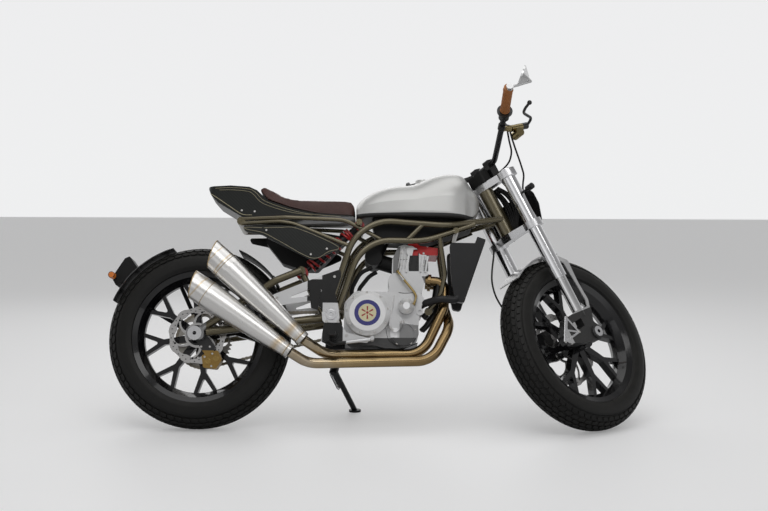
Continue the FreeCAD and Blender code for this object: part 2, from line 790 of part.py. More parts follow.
# Bodywork
# along the tank: x, bottom and top as shares of the wheelbase, then a share of its half width
tank_station_shares = (
    (0.4083, 0.3146, 0.3583, 0.62),
    (0.4222, 0.3146, 0.3771, 0.75),
    (0.4618, 0.3153, 0.4014, 0.88),
    (0.5208, 0.3153, 0.4153, 0.97),
    (0.5806, 0.3153, 0.4278, 1.0),
    (0.6250, 0.3153, 0.4451, 0.985),
    (0.6597, 0.3153, 0.4500, 0.94),
    (0.6910, 0.3160, 0.4444, 0.78),
    (0.7083, 0.3181, 0.4250, 0.58),
    (0.7208, 0.3236, 0.4069, 0.46),
    (0.7313, 0.3354, 0.3931, 0.34),
    (0.7375, 0.3479, 0.3806, 0.20),
)


tank_foot_share = 0.16
tank_waist_share = 0.42


def tank_section(x, bottom, top, half):
    """flat underside, full sides and a round top"""
    height = top - bottom
    foot = min(height, half) * tank_foot_share
    waist = bottom + height * tank_waist_share
    points = [vec(x, -half + foot, bottom), vec(x, half - foot, bottom)]
    low = Part.LineSegment(points[0], points[1]).toShape()
    root_half = math.sqrt(0.5)
    right = Part.Arc(points[1], vec(x, half - foot * (1 - root_half), bottom + foot * (1 - root_half)),
                     vec(x, half, bottom + foot)).toShape()
    side = Part.LineSegment(vec(x, half, bottom + foot), vec(x, half, waist)).toShape()
    crown = Part.Arc(vec(x, half, waist), vec(x, 0, top), vec(x, -half, waist)).toShape()
    other = Part.LineSegment(vec(x, -half, waist), vec(x, -half, bottom + foot)).toShape()
    left = Part.Arc(vec(x, -half, bottom + foot),
                    vec(x, -half + foot * (1 - root_half), bottom + foot * (1 - root_half)), points[0]).toShape()
    return Part.Wire([low, right, side, crown, other, left])


def fuel_tank():
    wires = []
    for along, bottom, top, half in tank_station_shares:
        wires.append(tank_section(along * wheelbase, up(bottom), up(top), half * tank_half_width))
    return Part.makeLoft(wires, True, False)


filler_share = (0.5847, 0.4292)
filler_radius = 26.0
filler_height = 12.0


def filler_cap():
    place = at(filler_share)
    return Part.makeCylinder(filler_radius, filler_height * 2, place - vec(0, 0, filler_height * 2 - filler_height / 2))


seat_outline_shares = ((0.1444, 0.3937), (0.1639, 0.3979), (0.1861, 0.3868), (0.2167, 0.3688),
                       (0.2639, 0.3618), (0.3944, 0.3618),
                       (0.4056, 0.3507), (0.4056, 0.319), (0.2993, 0.3259), (0.2354, 0.3398),
                       (0.1736, 0.362))
seat_plan_share = 0.86
tail_outline_shares = ((0.0097, 0.4007), (0.0722, 0.4035), (0.1222, 0.3993), (0.1431, 0.3896),
                       (0.1722, 0.3618), (0.2354, 0.3396),
                       (0.2993, 0.3257), (0.4056, 0.3187), (0.4056, 0.3167), (0.1389, 0.3167),
                       (0.1042, 0.3174), (0.0396, 0.3563), (0.0194, 0.3785))
body_bend = 14.0


def plan_cut(shape, x_from, x_to, half_from, half_to, bend):
    """keeps what lies inside a plan outline that narrows towards one end"""
    box = shape.BoundBox
    points = [vec(x_from, -half_from, box.ZMin - overrun), vec(x_to, -half_to, box.ZMin - overrun),
              vec(x_to, half_to, box.ZMin - overrun), vec(x_from, half_from, box.ZMin - overrun)]
    return shape.common(slab(points, bend, vec(0, 0, box.ZLength + overrun * 2)))


def seat():
    body = plate(seat_outline_shares, body_bend, -seat_half_width, seat_half_width)
    box = body.BoundBox
    return plan_cut(body, box.XMin, box.XMax, seat_half_width, seat_half_width * seat_plan_share, body_bend * 2)


tail_tip_share = 0.7
tail_root_share = 1.1


def tail_unit():
    body = plate(tail_outline_shares, sheet, -seat_half_width, seat_half_width)
    box = body.BoundBox
    return plan_cut(body, box.XMin, box.XMax, seat_half_width * tail_tip_share, seat_half_width * tail_root_share,
                    body_bend * 2)


side_panel_shares = ((0.1639, 0.2882), (0.2083, 0.2896), (0.2618, 0.2861), (0.3785, 0.2326),
                     (0.3417, 0.2153), (0.2951, 0.1951),
                     (0.2083, 0.2382), (0.1639, 0.2618), (0.1181, 0.2715), (0.1111, 0.2868))
guard_shares = ((0.1667, 0.2896), (0.1667, 0.2569), (0.2111, 0.2021), (0.2618, 0.1854), (0.3056, 0.1854),
                (0.3889, 0.2743), (0.2917, 0.291))


panel_side_share = 0.84


def side_panels():
    inner = frame_half_width * panel_side_share + rail_tube + seat_gap
    return both(plate(side_panel_shares, body_bend, inner, inner + sheet))


guard_bar_share = (0.3181, 0.266)
guard_inner_share = 0.05
guard_outer_share = 0.7
guard_bar_reach_share = 0.87


def inner_box():
    """black box between the shock and the rear wheel, on a bar across the seat's stays"""
    body = plate(guard_shares, body_bend, -seat_half_width * guard_inner_share, seat_half_width * guard_outer_share)
    reach = frame_half_width * guard_bar_reach_share
    bar = drum(at(guard_bar_share), -reach, reach, rail_tube)
    return joined([body, bar])


# the black box of the air filter and battery, narrower towards the head, and the intake behind the cylinder
airbox_shares = ((0.45, 0.3143), (0.5799, 0.3151), (0.6917, 0.3151), (0.7167, 0.2986), (0.7139, 0.2938),
                 (0.6764, 0.2812), (0.6042, 0.2618),
                 (0.5278, 0.2576), (0.4597, 0.2618))
airbox_rear_half = 86.0
airbox_front_half = 48.0
intake_share = (0.4549, 0.2132)
intake_radius = 33.0
intake_half_width = 66.0
intake_port_share = (0.5104, 0.1965)
intake_port_radius = 30.0
intake_boot_share = (0.4792, 0.2687)
intake_boot_radius = 28.0
breather_shares = (((0.4, 0.1049, -0.62), (0.3986, 0.1271, -0.66), (0.4208, 0.1708, -0.66),
                   (0.4514, 0.1854, -0.6)),
                   ((0.4167, 0.1076, -0.3), (0.4167, 0.1299, -0.3), (0.4444, 0.166, -0.3),
                   (0.4639, 0.1771, -0.3)))
breather_radius = 8.0


def airbox():
    """air box under the tank with its boot, throttle body and two breather hoses"""
    box = plate(airbox_shares, sheet, -airbox_rear_half, airbox_rear_half)
    ends = box.BoundBox
    box = plan_cut(box, ends.XMin, ends.XMax, airbox_rear_half, airbox_front_half, body_bend)
    intake = at(intake_share)
    throttle = drum(intake, -intake_half_width, intake_half_width, intake_radius)
    port = rod(intake, at(intake_port_share), intake_port_radius)
    boot = rod(intake, at(intake_boot_share), intake_boot_radius)
    hoses = [tube(places(shares, engine_half_width), breather_radius, arm_bend) for shares in breather_shares]
    return joined([box, throttle, port, boot] + hoses)


hugger_gap = 10.0
hugger_inner = tyre_radius + hugger_gap
hugger_half_width = 76.0
hugger_from_angle = 36.0
hugger_to_angle = 66.0
guard_gap = 6.0
guard_inner = tyre_radius + guard_gap
guard_half_width = 50.0
guard_from_angle = 108.0
guard_to_angle = 158.0


def arc_shell(centre, inner, thickness, half_width, angle_from, angle_to):
    """part of a cylinder wall round a wheel, between two angles above the forward direction"""
    profile = Part.makePolygon([vec(inner, -half_width, 0), vec(inner + thickness, -half_width, 0),
                                vec(inner + thickness, half_width, 0), vec(inner, half_width, 0),
                                vec(inner, -half_width, 0)])
    shell = Part.Face(profile).revolve(vec(0, 0, 0), vec(0, -1, 0), angle_to - angle_from)
    shell.Placement = FreeCAD.Placement(centre, FreeCAD.Rotation(vec(0, -1, 0), angle_from))
    return shell


hugger_tab_angle = 39.0
hugger_tab_radius = 6.0
hugger_foot_share = (0.1972, 0.1389)


def rear_hugger():
    """shell over the front of the rear wheel, on a tab to each upper strut"""
    shell = arc_shell(rear_centre, hugger_inner, sheet, hugger_half_width, hugger_from_angle, hugger_to_angle)
    edge = round_rear(hugger_inner + sheet / 2, hugger_tab_angle, hugger_half_width - hugger_tab_radius)
    tab = rod(edge, at(hugger_foot_share, arm_upper_shares[0][2] * swingarm_half_width), hugger_tab_radius)
    return joined([shell, tab, mirrored(tab)])


guard_arm_angles = (115.0, 150.0)
guard_arm_out_share = 0.86
guard_arm_turn_share = 0.9


def round_rear(radius, angle, y):
    """a place at a distance and angle about the rear axle"""
    turn = math.radians(angle)
    return vec(radius * math.cos(turn), y, tyre_radius + radius * math.sin(turn))


def rear_mudguard():
    """strip behind the rear wheel, carried by two arms from the left end of the axle"""
    middle = guard_inner + sheet / 2
    parts = [arc_shell(rear_centre, guard_inner, sheet, guard_half_width, guard_from_angle, guard_to_angle)]
    for angle in guard_arm_angles:
        beside = swingarm_half_width * guard_arm_out_share
        points = [
            round_rear(arm_tube, angle, arm_end_outer - rail_tube),
            round_rear(tyre_radius * guard_arm_turn_share - rear_tyre_round, angle, beside),
            round_rear(tyre_radius * guard_arm_turn_share, angle, beside),
            round_rear(middle, angle, guard_half_width),
        ]
        parts.append(tube(points, rail_tube, arm_bend / 2))
    return joined(parts)


holder_shares = ((-0.1778, 0.166), (-0.1653, 0.1757), (-0.1917, 0.2118), (-0.2042, 0.2062),
                 (-0.2361, 0.1535), (-0.2236, 0.1326), (-0.2069, 0.1424))
holder_half_width = 44.0


def plate_bracket():
    """bracket at the end of the mudguard"""
    return plate(holder_shares, sheet, -holder_half_width, holder_half_width)


indicator_radius = 12.0
indicator_length = 30.0
indicator_stem = 5.0
indicator_reach = 80.0
tail_lamp_share = (-0.2264, 0.1535)


def rear_indicators():
    place = at(tail_lamp_share)
    stem = drum(place, -indicator_reach, indicator_reach, indicator_stem)
    lamp = drum(place, indicator_reach, indicator_reach + indicator_length, indicator_radius)
    return joined([stem, lamp, mirrored(lamp)])


# Footrests and controls
hanger_shares = ((0.3722, 0.1701), (0.3181, 0.1507), (0.1972, 0.1007), (0.1958, 0.0882), (0.2167, 0.0729),
                 (0.3, 0.0868), (0.3236, 0.066),
                 (0.3264, 0.0326), (0.3472, 0.0271), (0.3708, 0.0382), (0.3667, 0.0729), (0.3583, 0.1076),
                 (0.3722, 0.1493))
hanger_window_shares = ((0.2236, 0.0896), (0.2917, 0.116), (0.3264, 0.116), (0.3139, 0.0993),
                        (0.2778, 0.0965))
peg_plate_shares = ((0.3319, 0.0382), (0.3653, 0.0382), (0.3889, 0.0049), (0.4444, -0.009),
                    (0.4444, -0.0215), (0.3889, -0.0187), (0.35, -0.0312),
                    (0.3236, -0.0187))
peg_share = (0.3535, -0.0021)
peg_radius = 14.0
peg_base_radius = 20.0
peg_reach = 235.0
heel_guard_shares = ((0.2903, 0.1319), (0.3076, 0.1403), (0.3215, 0.1139), (0.3146, 0.0618),
                     (0.2965, 0.0667))
heel_guard_thickness = 3.0
hanger_thickness = 8.0
hanger_bend = 12.0
pedal_shares = ((0.3375, -0.0118, 0.66), (0.3569, -0.0271, 0.7), (0.4549, -0.016, 0.76))
pedal_toe_length = 34.0


def footrest_hangers():
    inner = boss_outer
    outer = inner + hanger_thickness
    body = plate(hanger_shares, hanger_bend, inner, outer)
    window = plate(hanger_window_shares, hanger_bend / 3, inner - overrun, outer + overrun)
    lower = plate(peg_plate_shares, hanger_bend / 2, inner, outer)
    base = drum(at(peg_share), outer, outer + hanger_thickness, peg_base_radius)
    peg = drum(at(peg_share), outer, peg_reach, peg_radius)
    heel = plate(heel_guard_shares, hanger_bend / 2, outer, outer + heel_guard_thickness)
    body = joined([body.cut(window), lower, base, peg, heel, pedal(inner)])
    return both(body.cut(drum(pivot, inner - overrun, outer + overrun, axle_cap_radius)))


def pedal(inner):
    """brake pedal, or gear lever on the left, from its boss on the hanger"""
    points = places(pedal_shares, peg_reach)
    arm = tube(points, rail_tube * 3 / 4, arm_bend / 2)
    base = drum(points[0], inner, points[0].y + rail_tube, peg_radius)
    toe = drum(points[-1], points[-1].y - rail_tube, points[-1].y + pedal_toe_length, rail_tube)
    return joined([arm, base, toe])


belly_shares = ((0.2986, -0.0174), (0.3472, -0.0299), (0.5319, -0.0299), (0.5722, -0.0125))


belly_side_share = 0.66


def belly_plate():
    half = engine_half_width * belly_side_share
    top = [at(pair, -half) for pair in belly_shares]
    low = [point - vec(0, 0, sheet) for point in reversed(top)]
    outline = top + low
    return Part.Face(Part.makePolygon(outline + outline[:1])).extrude(vec(0, half * 2, 0))


# Side stand
stand_pivot_share = (0.3514, -0.0743)
stand_inset = 4.0
stand_pivot_out = frame_half_width - stand_inset
stand_down = vec(0.29, 0.79, -0.54)
stand_up = vec(-0.97, 0.22, 0.08)
stand_eye_radius = 17.0
stand_eye_length = 26.0
stand_pin_radius = 8.0
stand_leg_radius = 11.0
stand_foot_radius = 24.0
stand_foot_thickness = 8.0
stand_plate_shares = ((0.3292, 0.0479), (0.3667, 0.0479), (0.375, -0.0312), (0.3722, -0.0688),
                      (0.3361, -0.0688), (0.3264, -0.0312))
stand_axis = stand_down.cross(stand_up)
stand_axis.normalize()
stand_pivot = at(stand_pivot_share, stand_pivot_out)


def stand_bracket():
    """plate below the left pivot boss, with the stand's pin"""
    inner = boss_inner
    body = plate(stand_plate_shares, hanger_bend, inner, inner + hanger_thickness)
    body = body.cut(drum(pivot, inner - overrun, inner + hanger_thickness + overrun, boss_radius))
    half = stand_eye_length / 2
    room = Part.makeCylinder(stand_eye_radius * 3, stand_eye_length + seat_gap * 2,
                             stand_pivot - stand_axis * (half + seat_gap), stand_axis)
    lug = Part.makeCylinder(stand_eye_radius, hanger_thickness * 2, stand_pivot + stand_axis * (half + seat_gap),
                            stand_axis)
    pin = Part.makeCylinder(stand_pin_radius, stand_eye_length + hanger_thickness,
                            stand_pivot - stand_axis * (half + seat_gap), stand_axis)
    head = Part.makeCylinder(stand_pin_radius + sheet, sheet, stand_pivot - stand_axis * (half + seat_gap + sheet),
                             stand_axis)
    middle = stand_pivot + stand_axis * (half + seat_gap + hanger_thickness)
    web = drum(middle, inner, middle.y, stand_eye_radius)
    return joined([joined([body, web]).cut(room), lug, pin, head])


def side_stand(up):
    """leg from its eye to a foot that lies flat on the ground"""
    down = vec(stand_down.x, stand_down.y, stand_down.z)
    down.normalize()
    length = stand_height / -(down.dot(up))
    foot = stand_pivot + down * length
    eye = Part.makeCylinder(stand_eye_radius, stand_eye_length, stand_pivot - stand_axis * (stand_eye_length / 2),
                            stand_axis)
    leg = rod(stand_pivot, foot + up * (stand_foot_thickness / 2), stand_leg_radius)
    ground_side = Part.makeCylinder(stand_foot_radius * 2, stand_foot_radius * 2, foot, up * -1)
    pad = Part.makeCylinder(stand_foot_radius, stand_foot_thickness, foot, up)
    body = joined([eye, leg, pad]).cut(ground_side)
    hole = Part.makeCylinder(stand_pin_radius + running_gap, stand_eye_length + overrun * 2,
                             stand_pivot - stand_axis * (stand_eye_length / 2 + overrun), stand_axis)
    return body.cut(hole)


# Fork, drawn on its own axis
leg_top_share = 0.4974
leg_low_share = 0.1774
stanchion_low_share = 0.0604
clamp_wall = 11.0
clamp_back = 22.0
leg_cap_height = 9.0
leg_cap_radius = 20.0


def leg_axis(share, side=1):
    return vec(fork_offset, side * fork_half_spread, up(share))


def fork_outer_tubes():
    low = leg_axis(leg_low_share)
    high = leg_axis(leg_top_share)
    cap = rod(high, high + vec(0, 0, leg_cap_height), leg_cap_radius)
    return both(joined([rod(low, high, leg_radius), cap]))


def clamp(low_share, thickness):
    """fork clamp: two rings joined round the stem"""
    low = up(low_share)
    outer = leg_radius + clamp_wall
    rise = vec(0, 0, thickness)
    rings = [Part.makeCylinder(outer, thickness, vec(fork_offset, side * fork_half_spread, low))
             for side in (1, -1)]
    web = [vec(fork_offset + clamp_wall, -fork_half_spread, low), vec(fork_offset, 0, low),
           vec(fork_offset + clamp_wall, fork_half_spread, low),
           vec(fork_offset - leg_radius, fork_half_spread, low),
           vec(-clamp_back, clamp_back, low), vec(-clamp_back, -clamp_back, low),
           vec(fork_offset - leg_radius, -fork_half_spread, low)]
    body = joined(rings + [slab(web, clamp_wall, rise)])
    for side in (1, -1):
        body = body.cut(Part.makeCylinder(leg_radius, thickness + overrun * 2,
                                          vec(fork_offset, side * fork_half_spread, low - overrun)))
    return body


def fork_clamps():
    """both clamps and the stem that joins them through the head tube"""
    low = up(low_clamp_share)
    top = up(top_clamp_share) + clamp_thickness
    stem = Part.makeCylinder(stem_radius, top - low, vec(0, 0, low))
    return joined([clamp(low_clamp_share, clamp_thickness), clamp(top_clamp_share, clamp_thickness), stem])


foot_shares = ((0.0063, 0.0792), (0.0611, 0.0792), (0.0639, 0.0688), (0.0486, 0.0368), (0.0646, 0.0181),
               (0.0639, -0.0035), (0.041, -0.0132), (-0.0417, 0.0), (-0.0778, 0.0104),
               (-0.0819, 0.0299), (-0.0431, 0.0701))
foot_window_shares = ((0.0097, 0.0576), (0.0097, 0.0354), (-0.0417, 0.0271), (-0.0333, 0.0521))
foot_inner = 86.0
foot_outer = 122.0
foot_boss_inner = 82.0
foot_boss_outer = 128.0
foot_boss_radius = 25.0


def fork_lowers():
    """stanchions and the feet that hold the axle"""
    body = plate(foot_shares, hanger_bend, foot_inner, foot_outer)
    window = plate(foot_window_shares, sheet, foot_inner - overrun, foot_outer + overrun)
    boss = drum(front_centre, foot_boss_inner, foot_boss_outer, foot_boss_radius)
    stanchion = rod(leg_axis(stanchion_low_share), leg_axis(leg_low_share), stanchion_radius)
    body = joined([body.cut(window), boss, stanchion])
    return both(body.cut(drum(front_centre, foot_boss_inner - overrun, foot_boss_outer + overrun, axle_radius)))


front_disc_side = 62.0


def front_axle():
    reach = foot_boss_outer + axle_cap_thickness
    parts = [
        drum(front_centre, -reach, reach, axle_radius),
        drum(front_centre, -reach, -foot_boss_outer, leg_cap_radius),
        drum(front_centre, foot_boss_outer, reach, leg_cap_radius),
        drum(front_centre, -foot_boss_inner, -hub_half_length - seat_gap, spacer_radius),
        drum(front_centre, front_disc_side + disc_thickness + seat_gap, foot_boss_inner, spacer_radius),
    ]
    return joined(parts).cut(drum(front_centre, -reach - overrun, reach + overrun, axle_bore))


front_caliper_angle = 160.0
front_caliper_length = 104.0
front_caliper_height = 46.0


def front_caliper():
    """caliper astride the left disc, bolted to the back of the left foot"""
    centre_y = front_disc_side + disc_thickness / 2
    inner = front_disc_radius - front_caliper_height * 3 / 4
    outer = inner + front_caliper_height
    half = front_caliper_length / 2
    points = [vec(inner, centre_y - caliper_depth, -half), vec(outer, centre_y - caliper_depth, -half * 3 / 4),
              vec(outer, centre_y - caliper_depth, half * 3 / 4), vec(inner, centre_y - caliper_depth, half)]
    body = slab(points, hanger_bend, vec(0, caliper_depth * 2, 0))
    body.Placement = FreeCAD.Placement(front_centre, FreeCAD.Rotation(vec(0, -1, 0), front_caliper_angle))
    slot = drum(front_centre, centre_y - disc_thickness, centre_y + disc_thickness,
                front_disc_radius + disc_gap / 2)
    return body.cut(slot)


# Handlebar, from its middle outwards: forward, up and out
bar_shares = ((-0.0826, 0.6354, 1.0), (-0.0257, 0.6, 0.647), (0.0, 0.5549, 0.353), (0.0306, 0.5403, 0.165))
bar_half_width = 425.0
bar_bend = 90.0
riser_half_gap = 26.0
riser_width = 26.0
riser_reach = 20.0
grip_length = 128.0
bar_end_length = 8.0


def bar_points():
    half = places(bar_shares, bar_half_width)
    return half + [vec(p.x, -p.y, p.z) for p in reversed(half)]


def handlebar():
    """wide bar with its risers"""
    bar = tube(bar_points(), bar_radius, bar_bend)
    centre = bar_points()[len(bar_shares) - 1]
    foot = up(top_clamp_share) + clamp_thickness
    outline = [vec(centre.x - riser_reach, riser_half_gap, foot), vec(centre.x + riser_reach, riser_half_gap, foot),
               vec(centre.x + riser_reach, riser_half_gap, centre.z + riser_reach),
               vec(centre.x - riser_reach, riser_half_gap, centre.z + riser_reach)]
    riser = slab(outline, riser_reach / 3, vec(0, riser_width, 0))
    return joined([bar, riser, mirrored(riser)])


def bar_outer():
    """end of the bar and the direction inwards along it"""
    end, elbow = bar_points()[:2]
    inward = elbow - end
    inward.normalize()
    return end, inward


def grips():
    end, inward = bar_outer()
    start = end - inward * bar_end_length
    body = rod(start, end + inward * grip_length, grip_radius)
    hole = rod(end, end + inward * (grip_length + overrun), bar_radius)
    return both(body.cut(hole))


flange_radius = 29.0
flange_thickness = 6.0
switch_radius = 20.0
switch_length = 36.0
perch_radius = 17.0
perch_length = 20.0
perch_share = (-0.0187, 0.5875, -0.576)
master_shares = ((0.0028, 0.5764, -0.588), (0.0639, 0.5743, -0.6))
master_radius = 13.0
reservoir_shares = ((0.0153, 0.5576, -0.64), (0.0208, 0.559, -0.54))
reservoir_radius = 17.0
lever_shares = ((0.0611, 0.5729, -0.61), (0.0681, 0.5826, -0.68), (0.0194, 0.5938, -0.75),
                (0.0069, 0.5965, -0.83), (-0.0021, 0.5979, -0.92))
lever_radius = 5.5
lever_ball_radius = 9.0


def bar_controls():
    """on each side a flange, a switch housing, a perch with its master cylinder and a lever; one mirror"""
    end, inward = bar_outer()
    start = end + inward * (grip_length + seat_gap)
    flange = rod(start, start + inward * flange_thickness, flange_radius)
    switch = rod(start, start + inward * (flange_thickness + switch_length), switch_radius)
    perch, root, knuckle, cup_low, cup_high = [mirrored_point(shares) for shares in
                                               (perch_share,) + master_shares + reservoir_shares]
    along = bar_points()[2] - bar_points()[1]
    along.normalize()
    clamp_ring = rod(perch - along * (perch_length / 2), perch + along * (perch_length / 2), perch_radius)
    arm = rod(perch, root, master_radius)
    master = rod(root, knuckle, master_radius)
    cup = rod(cup_low, cup_high, reservoir_radius)
    lever_points = [mirrored_point(shares) for shares in lever_shares]
    lever = tube(lever_points, lever_radius, arm_bend)
    ball = Part.makeSphere(lever_ball_radius, lever_points[-1])
    body = joined([flange, switch, clamp_ring, arm, master, cup, lever, ball])
    return Part.makeCompound([both(body), mirror()])


def mirrored_point(shares):
    """a place measured on the right, given on the left"""
    x, z, y = shares
    return vec(x * wheelbase, -y * bar_half_width, up(z))


mirror_share = (-0.0326, 0.6583, -1.047)
mirror_root_shares = ((-0.0861, 0.6347, -1.028), (-0.0069, 0.6382, -1.05))
mirror_facing = vec(0.556, -0.402, -0.727)
mirror_radius = 40.0
mirror_rim = 6.0
mirror_depth = 30.0
mirror_boss = 9.0
mirror_arm = 5.0
mirror_clamp = 13.0


def mirror():
    """round mirror on an arm from the right end of the bar"""
    place = places((mirror_share,), bar_half_width)[0]
    profile = [(0, 0), (0, mirror_radius), (mirror_rim, mirror_radius), (mirror_depth, mirror_boss),
               (mirror_depth, 0)]
    head = turned(profile, place, mirror_facing)
    root, tip = places(mirror_root_shares, bar_half_width)
    peak = place + mirror_facing * mirror_depth
    end, inward = bar_outer()
    along = vec(inward.x, -inward.y, inward.z)
    cap = rod(root - along * mirror_boss, root + along * (mirror_boss / 2), mirror_clamp)
    return joined([head, rod(root, tip, mirror_arm), rod(tip, peak, mirror_arm), cap])


gauge_length = 52.0
gauge_half_width = 42.0
gauge_height = 44.0


def instrument():
    """instrument box on the top clamp"""
    low = up(top_clamp_share) + clamp_thickness
    front = bar_points()[len(bar_shares) - 1].x - riser_reach - seat_gap
    points = [vec(front - gauge_length, -gauge_half_width, low), vec(front, -gauge_half_width, low),
              vec(front, gauge_half_width, low), vec(front - gauge_length, gauge_half_width, low)]
    return slab(points, hanger_bend, vec(0, 0, gauge_height))


plate_low_share = 0.3334
plate_high_share = 0.4304
plate_foot_share = 0.8
plate_stub_share = 0.6
number_plate_half_width = 136.0
number_plate_bend = 30.0
board_stand_off = 12.0
stub_radius = 6.0
headlamp_radius = 46.0
headlamp_depth = 34.0


def front_plate():
    """number plate ahead of the fork, on stubs from both clamps, with a small round lamp"""
    forward = fork_offset + leg_radius + clamp_wall + board_stand_off
    low = up(plate_low_share)
    high = up(plate_high_share)
    half = number_plate_half_width
    points = [vec(forward, -half * plate_foot_share, low), vec(forward, half * plate_foot_share, low), vec(forward, half, (low + high) / 2),
              vec(forward, half, high), vec(forward, -half, high), vec(forward, -half, (low + high) / 2)]
    board = slab(points, number_plate_bend, vec(sheet, 0, 0))
    lamp = Part.makeCylinder(headlamp_radius, headlamp_depth, vec(forward, 0, (low + high) / 2), vec(1, 0, 0))
    stubs = []
    for from_height, to_height in ((up(low_clamp_share) + clamp_thickness / 2, up(low_clamp_share) + clamp_thickness / 2),
                                   (up(top_clamp_share) + stub_radius, high - number_plate_bend)):
        for side in (1, -1):
            start = vec(fork_offset + stub_radius, side * fork_half_spread * plate_stub_share, from_height)
            stubs.append(rod(start, vec(forward + sheet / 2, start.y, to_height), stub_radius))
    return joined([board, lamp] + stubs)


front_indicator_share = 0.4236


def front_indicators():
    height = up(front_indicator_share)
    start = fork_half_spread + leg_radius
    stem = rod(vec(fork_offset, start, height), vec(fork_offset, start + indicator_length, height), indicator_stem)
    lamp = rod(vec(fork_offset, start + indicator_length, height),
               vec(fork_offset, start + indicator_length * 2, height), indicator_radius)
    return both(joined([stem, lamp]))


fender_gap = 6.0
fender_inner = tyre_radius + fender_gap
fender_half_width = 56.0
fender_from_angle = 76.0
fender_to_angle = 120.0
stay_shares = ((0.0583, 0.2132), (0.0792, 0.2132), (0.0764, 0.1771), (0.075, 0.1465), (0.0792, 0.0965),
               (0.0681, 0.0701), (0.0569, 0.0701),
               (0.0681, 0.0965), (0.0646, 0.1465), (0.0611, 0.1826))
stay_out = 112.0
stay_bend = 5.0
wing_inner = 52.0
wing_height_share = 0.2521
wing_span_shares = (0.05, 0.0833)
wing_lean = vec(0, -0.69, -0.72)


def front_mudguard():
    """short mudguard between the legs, on a brace that ties both outer tubes"""
    shell = arc_shell(front_centre, fender_inner, sheet, fender_half_width, fender_from_angle, fender_to_angle)
    return shell


def leg_stays():
    """wing from the mudguard round the front of the left leg and the flat stay from it to the foot"""
    stay = plate(stay_shares, stay_bend, stay_out - sheet, stay_out)
    rear, front = [vec(pair.x, stay_out, pair.z) for pair in (at(stay_shares[0]), at(stay_shares[1]))]
    near, far = [vec(share * wheelbase, wing_inner, up(wing_height_share)) for share in wing_span_shares]
    wing = slab([rear, front, far, near], stay_bend, wing_lean * sheet)
    return joined([stay, wing])


left_hose_points = ((-6, 84, 842), (-30, 88, 800), (-70, 92, 752), (-104, 92, 706), (-122, 92, 650),
                    (-118, 90, 590), (-100, 86, 530), (-72, 79, 470), (-62, 78, 446))
right_hose_points = ((6, -240, 1166), (14, -226, 1142), (38, -198, 1108), (74, -160, 1068),
                     (96, -130, 1022),
                     (88, -108, 992), (75, -94, 950), (72, -82, 896), (70, -70, 836))
throttle_points = ((-4, -238, 1172), (10, -212, 1142), (34, -180, 1108), (44, -140, 1086), (44, -104, 1078),
                   (30, -74, 1072), (20, -58, 1068))


def cord_radii(points):
    """bend radius at each inner point, as large as the runs beside it allow"""
    radii = []
    for before, corner, after in zip(points, points[1:], points[2:]):
        into = before - corner
        out = after - corner
        half_turn = (math.pi - into.getAngle(out)) / 2
        radii.append(setback_share * min(into.Length, out.Length) / math.tan(half_turn))
    return radii


def cord(points, radius):
    """cable of straight runs and tangent arcs, each arc as large as its runs allow"""
    path = [vec(*point) for point in points]
    print("hose radii", [round(value) for value in cord_radii(path)])
    return tube(path, radius, max(cord_radii(path)) * 2)


def brake_hoses():
    routes = (left_hose_points, right_hose_points, throttle_points)
    return Part.makeCompound([cord(points, cable_radius) for points in routes])


def tabs_for_fender():
    place = vec(fork_offset, 0, front_centre.z + fender_inner - rail_tube)
    return drum(place, fender_half_width - sheet, fork_half_spread, rail_tube)


def axle_hub(centre, y_from, y_to, radius):
    return ring(centre, y_from, y_to, radius, axle_radius + running_gap)


hub_carrier_radius = 46.0
front_first_turn = 312.8
rear_first_turn = 143.1
front_disc_lobes = 12
rear_disc_lobes = 10


def rear_brake_disc():
    carrier = axle_hub(rear_centre, -disc_side, -hub_half_length, hub_carrier_radius)
    body = disc(rear_centre, -disc_side - disc_thickness, rear_disc_radius, axle_radius + running_gap,
                rear_disc_lobes)
    face = axle_hub(rear_centre, -disc_side - disc_thickness, -disc_side, hub_carrier_radius)
    return joined([body, carrier, face])


def front_brake_disc():
    carrier = axle_hub(front_centre, hub_half_length, front_disc_side, hub_carrier_radius)
    body = disc(front_centre, front_disc_side, front_disc_radius, axle_radius + running_gap, front_disc_lobes)
    face = axle_hub(front_centre, front_disc_side, front_disc_side + disc_thickness, hub_carrier_radius)
    return joined([body, carrier, face])


def rear_sprocket_on_carrier():
    carrier = axle_hub(rear_centre, hub_half_length, chain_line - sprocket_thickness / 2, hub_carrier_radius)
    return joined([rear_sprocket(), carrier])


# How the bike rests: steering on its left stop, nose level so that both tyres touch, leaned on its stand
steering_axis = vec(-math.sin(math.radians(rake)), 0, math.cos(math.radians(rake)))
steer_foot = vec(wheelbase + trail, 0, 0)
steer_turn = FreeCAD.Placement(vec(0, 0, 0), FreeCAD.Rotation(steering_axis, steering_lock), steer_foot)
front_place = steer_turn.multiply(fork_frame)


def tilt(pitch):
    return FreeCAD.Placement(vec(0, 0, 0), FreeCAD.Rotation(vec(1, 0, 0), -lean).multiply(
        FreeCAD.Rotation(vec(0, 1, 0), pitch)))


def lowest(placement, centre, axle, section):
    """height of the lowest point of a round tyre under a placement"""
    middle = placement.multVec(centre)
    direction = placement.Rotation.multVec(axle)
    return middle.z - (tyre_radius - section) * math.sqrt(1 - direction.z ** 2) - section


def drop_ahead(pitch):
    """how much higher the front tyre is than the rear one"""
    front = lowest(tilt(pitch), front_place.multVec(front_centre), front_place.Rotation.multVec(across),
                   front_tyre_round)
    return front - lowest(tilt(pitch), rear_centre, across, rear_tyre_round)


def level_pitch():
    nose_up = -lean
    nose_down = lean
    for step in range(60):
        middle = (nose_up + nose_down) / 2
        if drop_ahead(middle) > 0:
            nose_up = middle
        else:
            nose_down = middle
    return (nose_up + nose_down) / 2


